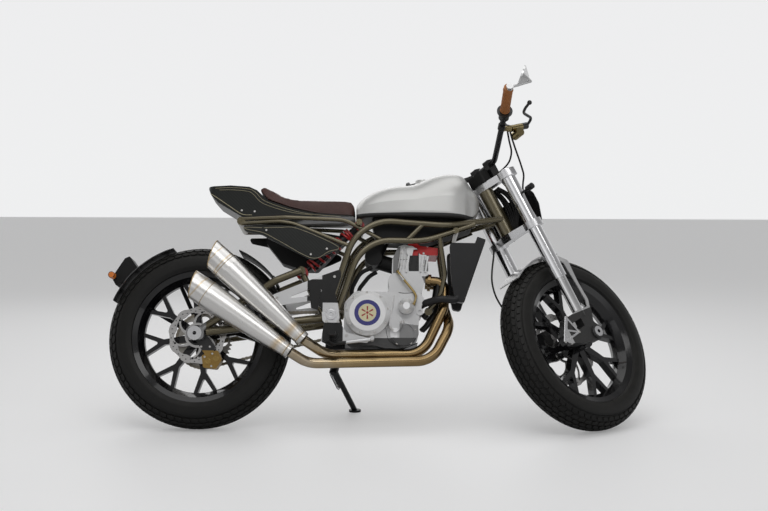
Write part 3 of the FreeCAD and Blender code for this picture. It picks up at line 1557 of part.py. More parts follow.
rest = tilt(level_pitch())
rest.Base = vec(0, 0, -lowest(rest, rear_centre, across, rear_tyre_round))
ground_up = rest.inverse().Rotation.multVec(vec(0, 0, 1))
stand_height = rest.multVec(stand_pivot).z

head_solid = rod(fork_frame.multVec(vec(0, 0, head_low)), fork_frame.multVec(vec(0, 0, head_high)), head_tube_radius)
frame_left = frame_side().cut(head_solid)

chassis = {
    "frame_left": frame_left,
    "frame_right": mirrored(frame_left),
    "frame_cross_tubes": Part.makeCompound([frame_cross_tubes().cut(frame_left).cut(mirrored(frame_left)),
                                            head_tube()]),
    "subframe": subframe(),
    "swingarm_pivot": swingarm_pivot(),
    "swingarm": swingarm(),
    "rear_axle": rear_axle(),
    "rear_caliper": rear_caliper(),
    "drive_chain": Part.makeCompound([drive_chain(), gearbox_sprocket()]),
    "shock": shock(),
    "crankcase": crankcase(),
    "clutch_cover": clutch_cover(),
    "cylinder_head": cylinder_head(),
    "exhaust_headers": headers(),
    "silencers": Part.makeCompound([silencer(upper_pipe_shares, upper_mouth_shares),
                                    silencer(lower_pipe_shares, lower_mouth_shares)]),
    "radiator": radiator(),
    "fuel_tank": joined([fuel_tank(), filler_cap()]),
    "seat": seat(),
    "tail_unit": tail_unit(),
    "side_panels": side_panels(),
    "airbox_and_guards": Part.makeCompound([airbox(), inner_box(), rear_hugger()]),
    "rear_mudguard": joined([rear_mudguard(), plate_bracket(), rear_indicators()]),
    "footrests": footrest_hangers(),
    "belly_plate": belly_plate(),
    "stand_bracket": stand_bracket(),
}
fork = {
    "fork_clamps": fork_clamps(),
    "fork_outer_tubes": fork_outer_tubes(),
    "fork_lowers": fork_lowers(),
    "front_axle": front_axle(),
    "front_caliper": front_caliper(),
    "handlebar": handlebar(),
    "grips": grips(),
    "bar_controls": bar_controls(),
    "instrument": instrument(),
    "front_plate": Part.makeCompound([front_plate(), front_indicators()]),
    "front_mudguard": joined([front_mudguard(), tabs_for_fender(), mirrored(tabs_for_fender()), leg_stays(),
                              mirrored(leg_stays())]),
    "brake_hoses": brake_hoses(),
}
front_wheel = {
    "front_tyre": tyre(front_centre, front_tyre_round, front_rim_half_width),
    "front_wheel": wheel(front_centre, front_rim_half_width, front_first_turn),
    "front_brake_disc": front_brake_disc(),
}
rear_wheel = {
    "rear_tyre": tyre(rear_centre, rear_tyre_round, rear_rim_half_width),
    "rear_wheel": wheel(rear_centre, rear_rim_half_width, rear_first_turn),
    "rear_brake_disc": rear_brake_disc(),
    "rear_sprocket": rear_sprocket_on_carrier(),
}
stand = {"side_stand": side_stand(ground_up)}

# Where two pieces of one body meet, the first gives way to the others
gives_way = {
    "subframe": ("frame_left", "frame_right", "frame_cross_tubes"),
    "shock": ("swingarm", "frame_cross_tubes"),
    "clutch_cover": ("crankcase",),
    "cylinder_head": ("crankcase",),
    "exhaust_headers": ("cylinder_head",),
    "silencers": ("exhaust_headers",),
    "radiator": ("crankcase", "frame_left", "frame_right"),
    "seat": ("fuel_tank", "subframe"),
    "tail_unit": ("seat", "fuel_tank", "subframe"),
    "airbox_and_guards": ("subframe", "frame_left", "frame_right", "frame_cross_tubes", "tail_unit", "swingarm",
                          "crankcase", "cylinder_head"),
    "rear_mudguard": ("swingarm",),
    "fork_clamps": ("fork_outer_tubes",),
    "front_caliper": ("fork_lowers",),
    "handlebar": ("fork_clamps",),
    "bar_controls": ("grips", "handlebar"),
    "front_plate": ("fork_clamps", "fork_outer_tubes"),
    "front_mudguard": ("fork_outer_tubes", "fork_lowers"),
    "brake_hoses": ("front_caliper", "fork_clamps", "bar_controls", "fork_outer_tubes"),
}

for body in (chassis, fork):
    for name, keepers in gives_way.items():
        if name in body:
            for keeper in keepers:
                body[name] = body[name].cut(body[keeper])

for body, placement in ((fork, front_place), (front_wheel, front_place)):
    for name in body:
        body[name].Placement = placement.multiply(body[name].Placement)

pieces = {}
for body in (chassis, fork, front_wheel, rear_wheel, stand):
    for name, shape in body.items():
        shape.Placement = rest.multiply(shape.Placement)
        pieces[name] = shape

box = FreeCAD.BoundBox()
for shape in pieces.values():
    box.add(shape.optimalBoundingBox(False, False))
to_origin = vec(-(box.XMin + box.XMax) / 2, -(box.YMin + box.YMax) / 2, 0)

os.makedirs("parts", exist_ok=True)
for name, shape in pieces.items():
    shape.translate(to_origin)
    shape.exportStep("parts/" + name + ".step")


def told(label, vector):
    print(label, round(vector.x, 5), round(vector.y, 5), round(vector.z, 5))


def placed(point):
    return rest.multVec(point) + to_origin


told("steering origin", placed(steer_foot))
told("steering axis", rest.Rotation.multVec(steering_axis))
told("front wheel origin", placed(front_place.multVec(front_centre)))
told("front wheel axis", rest.Rotation.multVec(front_place.Rotation.multVec(across)))
told("rear wheel origin", placed(rear_centre))
told("rear wheel axis", rest.Rotation.multVec(across))
told("stand origin", placed(stand_pivot))
told("stand axis", rest.Rotation.multVec(stand_axis))
print("bike pitch", round(level_pitch(), 4))
print("size", round(box.XLength, 1), round(box.YLength, 1), round(box.ZLength, 1))
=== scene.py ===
# %% [markdown]
# A light single-cylinder road motorcycle, leaning on its side stand with the front wheel turned
# to the left. The solids come from the CAD frame and stay where they are; this script gives them
# their finishes and adds the small things that catch the eye: tread blocks, stitching, screws,
# chain links, fins and pin stripes. The first cell loads the frame. The dressed machine must not
# grow past it.

# %% Load the frame
import bpy
import bmesh
import json
import math
from mathutils import Vector, Matrix
from mathutils.bvhtree import BVHTree


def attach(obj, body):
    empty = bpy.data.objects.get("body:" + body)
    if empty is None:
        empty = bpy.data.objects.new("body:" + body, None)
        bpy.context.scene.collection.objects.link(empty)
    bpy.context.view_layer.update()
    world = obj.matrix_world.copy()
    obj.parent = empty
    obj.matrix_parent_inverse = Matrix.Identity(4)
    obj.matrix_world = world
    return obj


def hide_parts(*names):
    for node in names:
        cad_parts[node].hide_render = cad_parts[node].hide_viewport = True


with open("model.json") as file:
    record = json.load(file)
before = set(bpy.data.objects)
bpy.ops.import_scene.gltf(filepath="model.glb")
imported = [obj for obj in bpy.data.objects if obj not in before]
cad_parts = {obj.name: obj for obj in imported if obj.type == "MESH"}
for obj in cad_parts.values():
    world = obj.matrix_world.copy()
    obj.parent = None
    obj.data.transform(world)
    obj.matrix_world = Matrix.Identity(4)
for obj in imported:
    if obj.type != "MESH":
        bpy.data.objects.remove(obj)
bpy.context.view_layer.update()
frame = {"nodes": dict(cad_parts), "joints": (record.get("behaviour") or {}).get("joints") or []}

# %% [markdown]
# The machine leans 16 degrees and its fork is turned, so world axes are awkward to think in.
# Two sets of rulers make it easy: one lies along the bike (forward from the rear axle, left,
# up from the tyres' line), the other along the fork (forward of its legs, sideways, up the
# steering line). Both are worked out from the joints, so they follow the frame exactly.

# %% Rulers along the bike and along the fork
joints = {j["name"]: j for j in frame["joints"]}
rear_centre = Vector(joints["rear_wheel_spin"]["pos_m"])
front_centre = Vector(joints["front_wheel_spin"]["pos_m"])
bike_left = Vector(joints["rear_wheel_spin"]["axis"]).normalized()
steer_line = Vector(joints["steering"]["axis"]).normalized()
fork_left = Vector(joints["front_wheel_spin"]["axis"]).normalized()
rake = math.radians(26)
wheelbase, hub_height = 1440, 345
tyre_height = hub_height / 1000
steer_foot_ahead = 1.545
leg_forward = bike_left.cross(steer_line)
bike_forward = (math.cos(rake) * leg_forward - math.sin(rake) * steer_line).normalized()
bike_up = (math.sin(rake) * leg_forward + math.cos(rake) * steer_line).normalized()
fork_forward = fork_left.cross(steer_line).normalized()
fork_foot = rear_centre + bike_forward * steer_foot_ahead - bike_up * tyre_height


def bike(x, y, z):
    """millimetres forward of the rear axle, to the left, and up from the tyres' line"""
    return rear_centre + (bike_forward * x + bike_left * y + bike_up * (z - hub_height)) / 1000


def fork(f, y, a):
    """millimetres forward of the steering line, to the left, and up along it"""
    return fork_foot + (fork_forward * f + fork_left * y + steer_line * a) / 1000


def in_scene(name, data):
    made = bpy.data.objects.new(name, data)
    bpy.context.scene.collection.objects.link(made)
    return made


def spoke(first, second, turn):
    """a direction in the plane of two others"""
    return first * math.cos(turn) + second * math.sin(turn)


print("fork legs turned by", round(math.degrees(bike_left.angle(fork_left)), 1), "degrees")

# %% [markdown]
# The world, the floor and every finish are node trees. An effect that several finishes share is
# built once as a node group with named sockets. The first helper makes an empty group, and the
# others let a cell chain nodes in one line each.

# %% Small helpers for node trees


def new_effect(name, inputs, outputs):
    """an empty node group, the sockets it is given and those of its result"""
    tree = bpy.data.node_groups.new(name, "ShaderNodeTree")
    for label, kind, value in inputs:
        socket = tree.interface.new_socket(name=label, in_out="INPUT", socket_type="NodeSocket" + kind)
        socket.default_value = value
    for label, kind in outputs:
        tree.interface.new_socket(name=label, in_out="OUTPUT", socket_type="NodeSocket" + kind)
    return tree, tree.nodes.new("NodeGroupInput").outputs, tree.nodes.new("NodeGroupOutput").inputs


def put(tree, kind, settings=None, **values):
    """adds a node; values are numbers, colours or sockets for its named inputs (in0 is input 0)"""
    node = tree.nodes.new("ShaderNode" + kind)
    for key, value in (settings or {}).items():
        setattr(node, key, value)
    for key, value in values.items():
        numbered = key[:2] == "in" and key[2:].isdigit()
        spot = node.inputs[int(key[2:]) if numbered else key.replace("_", " ")]
        if isinstance(value, bpy.types.NodeSocket):
            tree.links.new(value, spot)
        else:
            spot.default_value = value
    return node


def sums(tree, operation, first, second=0.0, third=None):
    values = {"in0": first, "in1": second}
    if third is not None:
        values["in2"] = third
    return put(tree, "Math", {"operation": operation}, **values).outputs[0]


def plus(tree, first, second):
    return sums(tree, "ADD", first, second)


def times(tree, first, second):
    return sums(tree, "MULTIPLY", first, second)


def vectors(tree, operation, first, second):
    """a vector sum; a dot product gives a number, and SCALE takes one"""
    other = {"Scale": second} if operation == "SCALE" else {"in1": second}
    node = put(tree, "VectorMath", {"operation": operation}, in0=first, **other)
    return node.outputs["Value" if operation == "DOT_PRODUCT" else "Vector"]


def use(tree, group, **values):
    """the outputs of a shared effect"""
    return put(tree, "Group", {"node_tree": group}, **values).outputs


def on_surface(tree):
    return put(tree, "TexCoord").outputs["Object"]


def noise(tree, place, scale, detail, output="Fac"):
    return put(tree, "TexNoise", Vector=place, Scale=scale, Detail=detail).outputs[output]


def centred(tree, value):
    """noise runs from 0 to 1; this makes it run to both sides of 0"""
    return sums(tree, "SUBTRACT", value, 0.5)


def mixed(tree, share, first, second):
    """a colour between two colours or sockets"""
    return put(tree, "Mix", {"data_type": "RGBA"}, in0=share, in6=first, in7=second).outputs[2]


def blended(tree, share, first, second):
    """a number between two numbers or sockets"""
    return put(tree, "Mix", {"data_type": "FLOAT"}, in0=share, in2=first, in3=second).outputs[0]


def colour_scale(tree, value, *stops):
    """a colour from a number; stops are (position, colour) from first to last"""
    node = put(tree, "ValToRGB", Fac=value)
    ends = node.color_ramp.elements
    ends[0].position, ends[0].color = stops[0]
    ends[1].position, ends[1].color = stops[-1]
    for position, colour in stops[1:-1]:
        ends.new(position).color = colour
    return node.outputs["Color"]


def grey(value):
    return (value, value, value, 1)


print("helpers ready")

# %% [markdown]
# The camera stands where the photographer stood: beside the machine at about the height of the
# tank, looking slightly down with a normal lens. It is placed from the rear axle, so it keeps
# its view whatever the frame's origin is.

# %% Camera
lens = bpy.data.cameras.new("side_view_lens")
lens.sensor_width = 36.0
lens.lens = 51.931
camera = in_scene("side_view", lens)
view_right = Vector((0.99999244, -0.00135898, 0.00364302))
view_ahead = Vector((0.00162066, 0.99734392, -0.07281818))
view_up = Vector((-0.00353439, 0.07282354, 0.99733858))
stand_point = Matrix((view_right, view_up, -view_ahead)).transposed().to_4x4()
stand_point.translation = rear_centre + Vector((0.690258, -4.180200, 0.621484))
camera.matrix_world = stand_point
bpy.context.scene.camera = camera
print("camera", [round(v, 3) for v in stand_point.translation])

# %% [markdown]
# A pale studio: one wide floor and a world that lights softly from all round. What the camera
# and mirrors see of the world is white, what lights the machine is a gentler grey, so chrome and
# gloss find a bright room while pale paint keeps its colour. Three large soft lamps give the
# long highlights that show the tank's and pipes' roundness.

# %% Floor, world and lamps
bpy.ops.mesh.primitive_grid_add(x_subdivisions=8, y_subdivisions=8, size=40)
floor = bpy.context.object
floor.name = "studio_floor"


def area_lamp(name, place, target, size, power):
    lamp = bpy.data.lights.new(name, "AREA")
    lamp.shape = "RECTANGLE"
    lamp.size, lamp.size_y = size
    lamp.energy = power
    holder = in_scene(name, lamp)
    holder.location = place
    holder.rotation_euler = (Vector(target) - Vector(place)).to_track_quat("-Z", "Y").to_euler()


area_lamp("overhead_box", (0.1, -0.2, 3.6), (0.0, -0.1, 0.5), (5.0, 2.6), 46)
area_lamp("near_side_box", (0.9, -3.4, 3.9), (0.0, 0.0, 0.5), (4.2, 1.6), 44)
area_lamp("far_side_box", (-0.8, 3.6, 2.6), (0.0, 0.0, 0.6), (3.6, 1.4), 26)

# %% [markdown]
# The world is white round the horizon and dimmer overhead, so that flat tops don't wash out.
# Only the camera, gloss and glass see that room; everything else gets one soft fill.

# %% The air of the studio
world = bpy.data.worlds.new("studio_air")
bpy.context.scene.world = world
world.use_nodes = True
air = world.node_tree
air.nodes.clear()
upward = put(air, "SeparateXYZ", in0=put(air, "TexCoord").outputs["Generated"]).outputs["Z"]
room = colour_scale(air, upward, (0.0, (0.86, 0.865, 0.87, 1)), (0.17, (0.85, 0.85, 0.8585, 1)),
                    (0.34, (0.46, 0.46, 0.4646, 1)), (0.6, (0.26, 0.26, 0.2626, 1)),
                    (1.0, (0.2, 0.2, 0.205, 1)))
seen = put(air, "LightPath").outputs
by_eye = sums(air, "MAXIMUM", seen["Is Camera Ray"], seen["Is Glossy Ray"])
by_eye = sums(air, "MAXIMUM", by_eye, seen["Is Transmission Ray"])
soft_fill = put(air, "Background", Color=(1, 1, 1, 1), Strength=0.3)
white_room = put(air, "Background", Color=room)
pick = put(air, "MixShader", in0=by_eye, in1=soft_fill.outputs[0], in2=white_room.outputs[0])
put(air, "OutputWorld", Surface=pick.outputs[0])
print("air nodes:", len(air.nodes))

# %% [markdown]
# The floor is a plain pale sheet with a faint glow that only the camera sees. The glow lifts the
# floor towards white and leaves the shadow under the tyres.

# %% Pale floor that keeps the shadow
floor_paint = bpy.data.materials.new("pale_floor")
floor_paint.use_nodes = True
floor_tree = floor_paint.node_tree
floor_shader = floor_tree.nodes["Principled BSDF"]
floor_shader.inputs["Base Color"].default_value = (0.7, 0.7, 0.705, 1)
floor_shader.inputs["Roughness"].default_value = 0.55
floor_shader.inputs["Emission Color"].default_value = (1, 1, 1, 1)
glow = times(floor_tree, put(floor_tree, "LightPath").outputs["Is Camera Ray"], 0.24)
floor_tree.links.new(glow, floor_shader.inputs["Emission Strength"])
floor.data.materials.append(floor_paint)
bpy.context.scene.view_settings.view_transform = "Standard"

# %% [markdown]
# Two effects turn a surface point into the two rulers' numbers, in millimetres. Masks can then
# be given in the same measures that the solids were drawn with: the red cam cover, for example,
# is everything on the cylinder head inside one box.

# %% Effects: place on the bike, place on the fork, inside a box


def ruler_effect(name, zero, ahead, left, up):
    tree, given, result = new_effect(name, [], [("Place", "Vector")])
    offset = vectors(tree, "SUBTRACT", on_surface(tree), tuple(zero))
    millimetres = [times(tree, vectors(tree, "DOT_PRODUCT", offset, tuple(axis)), 1000.0)
                   for axis in (ahead, left, up)]
    whole = put(tree, "CombineXYZ", **dict(zip("XYZ", millimetres))).outputs[0]
    tree.links.new(whole, result["Place"])
    return tree


bike_place = ruler_effect("place_on_bike", bike(0, 0, 0), bike_forward, bike_left, bike_up)
fork_place = ruler_effect("place_on_fork", fork(0, 0, 0), fork_forward, fork_left, steer_line)

inside_box, given, result = new_effect(
    "inside_box",
    [("Place", "Vector", (0, 0, 0)), ("Low", "Vector", (0, 0, 0)), ("High", "Vector", (1, 1, 1))],
    [("Mask", "Float")])
above = vectors(inside_box, "SUBTRACT", given["Place"], given["Low"])
below = vectors(inside_box, "SUBTRACT", given["High"], given["Place"])
split = put(inside_box, "SeparateXYZ", Vector=vectors(inside_box, "MINIMUM", above, below))
least = sums(inside_box, "MINIMUM", split.outputs[0], split.outputs[1])
least = sums(inside_box, "MINIMUM", least, split.outputs[2])
inside_box.links.new(sums(inside_box, "GREATER_THAN", least, 0.0), result["Mask"])
print("effects:", len(bpy.data.node_groups))

# %% [markdown]
# Metal and paint never look the same all over. Four shared effects bring that in: fine grain
# (tiny bumps and a slight change of tone), brushing (long scratches in one direction), a woven
# shell (the two-over-two pattern of laid fibre) and hide (the pebbled skin of leather). A fifth
# lays a little dust on faces that look up.

# %% Effect: fine grain
fine_grain, given, result = new_effect(
    "fine_grain",
    [("Colour", "Color", grey(0.5)), ("Variation", "Float", 0.15), ("Size", "Float", 600.0),
     ("Roughness", "Float", 0.4), ("Change", "Float", 0.08)],
    [("Colour", "Color"), ("Roughness", "Float"), ("Height", "Float")])
here = on_surface(fine_grain)
small = noise(fine_grain, here, given["Size"], 4.0)
broad = noise(fine_grain, here, 9.0, 3.0)
halves = [times(fine_grain, part, 0.5) for part in (small, broad)]
tone = plus(fine_grain, *halves)
tone = times(fine_grain, centred(fine_grain, tone), given["Variation"])
tone = plus(fine_grain, times(fine_grain, tone, 2.0), 1.0)
shaded = vectors(fine_grain, "SCALE", given["Colour"], tone)
fine_grain.links.new(shaded, result["Colour"])
drift = times(fine_grain, centred(fine_grain, broad), given["Change"])
drift = plus(fine_grain, times(fine_grain, drift, 2.0), given["Roughness"])
fine_grain.links.new(drift, result["Roughness"])
fine_grain.links.new(small, result["Height"])
print("grain ready")

# %% Effect: brushing along a direction
brushing, given, result = new_effect(
    "brushing",
    [("Along", "Vector", (1, 0, 0)), ("Across", "Float", 900.0), ("Stretch", "Float", 0.03)],
    [("Streaks", "Float")])
here = on_surface(brushing)
run = vectors(brushing, "DOT_PRODUCT", here, given["Along"])
run_part = vectors(brushing, "SCALE", given["Along"], run)
cross_part = vectors(brushing, "SUBTRACT", here, run_part)
squeezed = vectors(brushing, "SCALE", run_part, given["Stretch"])
place = vectors(brushing, "ADD", cross_part, squeezed)
lines = noise(brushing, place, given["Across"], 3.0)
brushing.links.new(lines, result["Streaks"])
print("brushing ready")

# %% Effect: two-over-two weave
weave, given, result = new_effect(
    "two_over_two_weave", [("Place", "Vector", (0, 0, 0)), ("Thread", "Float", 2.2)],
    [("Warp", "Float"), ("Height", "Float")])
cells = put(weave, "SeparateXYZ", Vector=given["Place"])
across_cell = sums(weave, "DIVIDE", cells.outputs["X"], given["Thread"])
up_cell = sums(weave, "DIVIDE", cells.outputs["Z"], given["Thread"])
step = plus(weave, sums(weave, "FLOOR", across_cell), sums(weave, "FLOOR", up_cell))
over = sums(weave, "LESS_THAN", sums(weave, "FLOORED_MODULO", step, 4.0), 2.0)
hump_one = sums(weave, "SINE", times(weave, sums(weave, "FRACT", across_cell), math.pi))
hump_two = sums(weave, "SINE", times(weave, sums(weave, "FRACT", up_cell), math.pi))
weave.links.new(over, result["Warp"])
weave.links.new(blended(weave, over, hump_one, hump_two), result["Height"])
print("weave ready")

# %% Effect: hide
hide, given, result = new_effect(
    "hide", [("Colour", "Color", grey(0.2)), ("Crease", "Color", grey(0.05)), ("Size", "Float", 420.0)],
    [("Colour", "Color"), ("Height", "Float")])
here = on_surface(hide)
bent = noise(hide, here, 60.0, 2.0, "Color")
pushed = put(hide, "VectorMath", {"operation": "MULTIPLY_ADD"}, in0=bent, in1=(0.004, 0.004, 0.004),
             in2=here).outputs[0]
pebble = put(hide, "TexVoronoi", {"feature": "DISTANCE_TO_EDGE"}, Vector=pushed,
             Scale=given["Size"]).outputs["Distance"]
worn = noise(hide, here, 14.0, 4.0)
raised = times(hide, sums(hide, "MINIMUM", pebble, 0.12), 8.0)
share = times(hide, raised, plus(hide, worn, 0.35))
colour = mixed(hide, share, given["Crease"], given["Colour"])
hide.links.new(colour, result["Colour"])
hide.links.new(raised, result["Height"])
print("hide ready")

# %% Effect: dust on faces that look up
dusting, given, result = new_effect(
    "dusting",
    [("Colour", "Color", grey(0.5)), ("Dust", "Color", (0.42, 0.39, 0.34, 1)), ("Amount", "Float", 0.1)],
    [("Colour", "Color")])
facing = put(dusting, "SeparateXYZ", Vector=put(dusting, "NewGeometry").outputs["Normal"]).outputs["Z"]
patch = noise(dusting, on_surface(dusting), 30.0, 5.0)
lying = times(dusting, sums(dusting, "MAXIMUM", facing, 0.0), patch)
share = times(dusting, lying, given["Amount"])
dusted = mixed(dusting, share, given["Colour"], given["Dust"])
dusting.links.new(dusted, result["Colour"])
print("effects:", [g.name for g in bpy.data.node_groups])

# %% [markdown]
# One helper builds every painted or metal finish: a colour (or a small function that returns
# one from nodes), a roughness, how metallic it is, a clear coat, fine grain for life and a little
# dust. Values that are the same all over sit on the shader's own sockets, because only colours
# and roughness that change need nodes.

# %% The finish builder


def finish(name, colour, rough=0.4, metal=0.0, coat=0.0, coat_rough=0.08, variation=0.12, size=500.0,
           change=0.06, bump=0.04, dust=0.06, streaks=None, shine=0.5):
    """a procedural finish; colour, roughness and metal may be functions of the node tree"""
    made = bpy.data.materials.new(name)
    made.use_nodes = True
    tree = made.node_tree
    shader = tree.nodes["Principled BSDF"]
    grain = put(tree, "Group", {"node_tree": fine_grain}, Variation=variation, Size=size, Change=change)
    for spot, value in (("Colour", colour), ("Roughness", rough)):
        if callable(value):
            tree.links.new(value(tree), grain.inputs[spot])
        else:
            grain.inputs[spot].default_value = value if spot == "Roughness" else (*value, 1)
    dusty = use(tree, dusting, Colour=grain.outputs["Colour"], Amount=dust)
    tree.links.new(dusty["Colour"], shader.inputs["Base Color"])
    tree.links.new(grain.outputs["Roughness"], shader.inputs["Roughness"])
    height = grain.outputs["Height"]
    if streaks:
        along, share = streaks
        height = use(tree, brushing, Along=tuple(along))["Streaks"]
        rougher = plus(tree, grain.outputs["Roughness"], times(tree, centred(tree, height), share))
        tree.links.new(rougher, shader.inputs["Roughness"])
    raised = put(tree, "Bump", Height=height, Strength=bump, Distance=0.001)
    tree.links.new(raised.outputs["Normal"], shader.inputs["Normal"])
    if callable(metal):
        tree.links.new(metal(tree), shader.inputs["Metallic"])
        metal = 0.0
    for spot, value in (("Metallic", metal), ("Coat Weight", coat), ("Coat Roughness", coat_rough),
                        ("Specular IOR Level", shine)):
        shader.inputs[spot].default_value = value
    made.diffuse_color = (0.5, 0.5, 0.5, 1) if callable(colour) else (*colour, 1)
    return made


def masked(ruler, *pairs):
    """one mask for several boxes in a ruler's millimetres, to be asked for in any tree"""
    def mask_in(tree):
        place = use(tree, ruler)["Place"]
        mask = None
        for low, high in pairs:
            one = use(tree, inside_box, Place=place, Low=low, High=high)["Mask"]
            mask = one if mask is None else sums(tree, "MAXIMUM", mask, one)
        return mask
    return mask_in


def both_sides(*pairs):
    """the same boxes on the left and on the right"""
    return [*pairs, *(((a, -e, c), (d, -b, f)) for (a, b, c), (d, e, f) in pairs)]


def two_tone(mask, outside, inside):
    """a colour or a number that changes inside a mask"""
    change = mixed if isinstance(outside, tuple) else blended
    return lambda tree: change(tree, mask(tree), outside, inside)


def bike_measure(tree, axis):
    """one of the three numbers of the bike's ruler"""
    return put(tree, "SeparateXYZ", Vector=use(tree, bike_place)["Place"]).outputs[axis]


def fed_by(made, kind, group=None):
    """one node of a finish, to be fed by something else"""
    return next(n for n in made.node_tree.nodes
                if n.type == kind and (group is None or n.node_tree == group))


def wear(nodes, made):
    for node in nodes:
        slots = frame["nodes"][node].data.materials
        slots.clear()
        slots.append(made)


print("finish builder ready")

# %% [markdown]
# The tubes are sprayed a bronze olive under clear lacquer: metallic enough to catch long
# highlights, yet dark. Real lacquered tube shows faint tone changes near its welds, so the grain
# effect works on a broad scale here.

# %% Frame tubes
bronze_olive = finish("bronze_olive_lacquer", (0.115, 0.096, 0.052), rough=0.26, metal=0.75, coat=0.8,
                      variation=0.25, size=260.0, dust=0.05)
wear(("frame_left", "frame_right", "frame_cross_tubes", "subframe"), bronze_olive)
print("bronze olive on the frame")

# %% [markdown]
# The swingarm is the same lacquered tube, with machined axle blocks and a bright pivot cap. One
# mask in bike measures changes the finish at the blocks' edge, which is simpler than cutting the
# solid in two.

# %% Swingarm, pivot and axles
arm_ends = masked(bike_place, ((-60, -140, 300), (40, 140, 400)))
wear(["swingarm"], finish(
    "lacquered_swingarm", two_tone(arm_ends, (0.11, 0.092, 0.05, 1), grey(0.3)),
    rough=0.28, metal=0.8, coat=0.6, variation=0.2, size=260.0))
satin_alloy = finish("satin_machined_alloy", (0.7, 0.7, 0.71), rough=0.27, metal=1.0, variation=0.08,
                     streaks=(bike_up, 0.1), bump=0.02, dust=0.02)
wear(("swingarm_pivot", "rear_axle", "front_axle", "fork_clamps"), satin_alloy)
print("pivot, axles and clamps in satin alloy")

# %% [markdown]
# Polished fork tubes mirror the room. Along their length the polishing leaves hair lines, which
# stretch each highlight into the long bright band seen on a real leg.

# %% Fork tubes, lowers and feet
bright_tube = finish("polished_fork_tube", (0.83, 0.83, 0.84), rough=0.14, metal=1.0, variation=0.05,
                     streaks=(steer_line, 0.12), bump=0.015, dust=0.0)
wear(["fork_outer_tubes"], bright_tube)
feet = masked(fork_place, ((-80, -160, 250), (120, 160, 452)))
wear(["fork_lowers"], finish(
    "slider_and_cast_foot", two_tone(feet, grey(0.72), grey(0.035)), rough=two_tone(feet, 0.12, 0.42),
    metal=two_tone(feet, 1.0, 0.4), variation=0.08))
print("fork finishes ready")

# %% [markdown]
# Cast alloy has a skin: fine pits from the mould, and it is brighter on machined faces. The grain
# effect with a coarse size and a stronger bump gives the pits. Painted shade darkens the lower case,
# the sump and the recesses of the head, to give the engine depth. The clutch cover is machined and
# nearly white.

# %% Engine castings
machined_faces = masked(bike_place, ((748, -160, 424), (813, -119, 486)), ((700, -160, 300), (748, -96, 372)))
# painted shade: the sump is painted near-black and the lower case dark grey, to give the engine depth
sump_painted_shade = masked(bike_place, ((540, -140, 230), (880, 140, 338)))
lower_case_painted_shade = masked(bike_place, ((755, -160, 338), (880, 160, 388)))


# brighter machined faces, with painted shade on the lower case and the sump
def case_colour(tree):
    upper = mixed(tree, machined_faces(tree), grey(0.56), grey(0.8))
    return mixed(tree, sump_painted_shade(tree), mixed(tree, lower_case_painted_shade(tree), upper, grey(0.24)), grey(0.07))


wear(["crankcase"], finish("cast_alloy_skin", case_colour, rough=0.38, metal=0.8, variation=0.22, size=900.0,
                           bump=0.35, dust=0.1))
wear(["clutch_cover"], finish("pale_machined_cover", (0.82, 0.82, 0.82), rough=0.36, metal=0.35,
                              variation=0.06, size=700.0, bump=0.1, dust=0.02))
cam_cover = masked(bike_place, ((782, -66, 659), (904, 66, 720)))
chain_slot = masked(bike_place, *both_sides(((789, 60, 596), (828, 76, 681))))
# painted shade: the recesses at the front and back of the head are painted dark grey
head_recess_painted_shade = masked(bike_place, ((730, -80, 588), (757, 80, 690)), ((846, -80, 596), (905, 80, 640)))


def head_colour(tree):
    plain = mixed(tree, head_recess_painted_shade(tree), grey(0.54), grey(0.16))
    plain = mixed(tree, chain_slot(tree), plain, grey(0.008))
    return mixed(tree, cam_cover(tree), plain, (0.55, 0.012, 0.012, 1))


def painted(tree):
    return sums(tree, "MAXIMUM", cam_cover(tree), chain_slot(tree))


wear(["cylinder_head"], finish(
    "head_with_red_cover", head_colour, rough=two_tone(cam_cover, 0.42, 0.28),
    metal=two_tone(painted, 0.85, 0.15), variation=0.16, size=900.0, bump=0.25, dust=0.06))
print("castings ready")

# %% [markdown]
# Two pipes leave the head side by side. Heat has turned them straw and bronze near the engine
# and left the silencers the colour of brushed steel, with thin straw bands beside each weld.
# The bands are masks across the upper silencer's line, with which the lower one runs nearly
# parallel, and their edges are softened with noise.

# %% Exhaust
bands_tree, given, result = new_effect(
    "warm_bands", [("Mouth", "Vector", (0, 0, 0)), ("Along", "Vector", (1, 0, 0))], [("Band", "Float")])
here = on_surface(bands_tree)
from_mouth = vectors(bands_tree, "SUBTRACT", here, given["Mouth"])
far = vectors(bands_tree, "DOT_PRODUCT", from_mouth, given["Along"])
shift = noise(bands_tree, here, 40.0, 3.0)
shift = times(bands_tree, centred(bands_tree, shift), 0.012)
moved = plus(bands_tree, far, shift)
total = None
for centre, half in ((0.012, 0.004), (0.052, 0.005), (0.4, 0.02), (0.455, 0.03)):
    away = sums(bands_tree, "ABSOLUTE", sums(bands_tree, "SUBTRACT", moved, centre))
    away = sums(bands_tree, "DIVIDE", away, half)
    one = sums(bands_tree, "MAXIMUM", sums(bands_tree, "SUBTRACT", 1.0, away), 0.0)
    total = one if total is None else plus(bands_tree, total, one)
bands_tree.links.new(sums(bands_tree, "MINIMUM", total, 1.0), result["Band"])
upper_mouth = bike(66, -196, 629)
pipe_run = (bike(400, -169, 322) - upper_mouth).normalized()


def silencer_colour(tree):
    bands = use(tree, bands_tree, Mouth=tuple(upper_mouth), Along=tuple(pipe_run))["Band"]
    return mixed(tree, times(tree, bands, 0.75), (0.76, 0.75, 0.73, 1), (0.56, 0.41, 0.22, 1))


wear(["silencers"], finish("brushed_silencer_steel", silencer_colour, rough=0.3, metal=1.0,
                           variation=0.1, streaks=(pipe_run, 0.14), bump=0.03, dust=0.02))


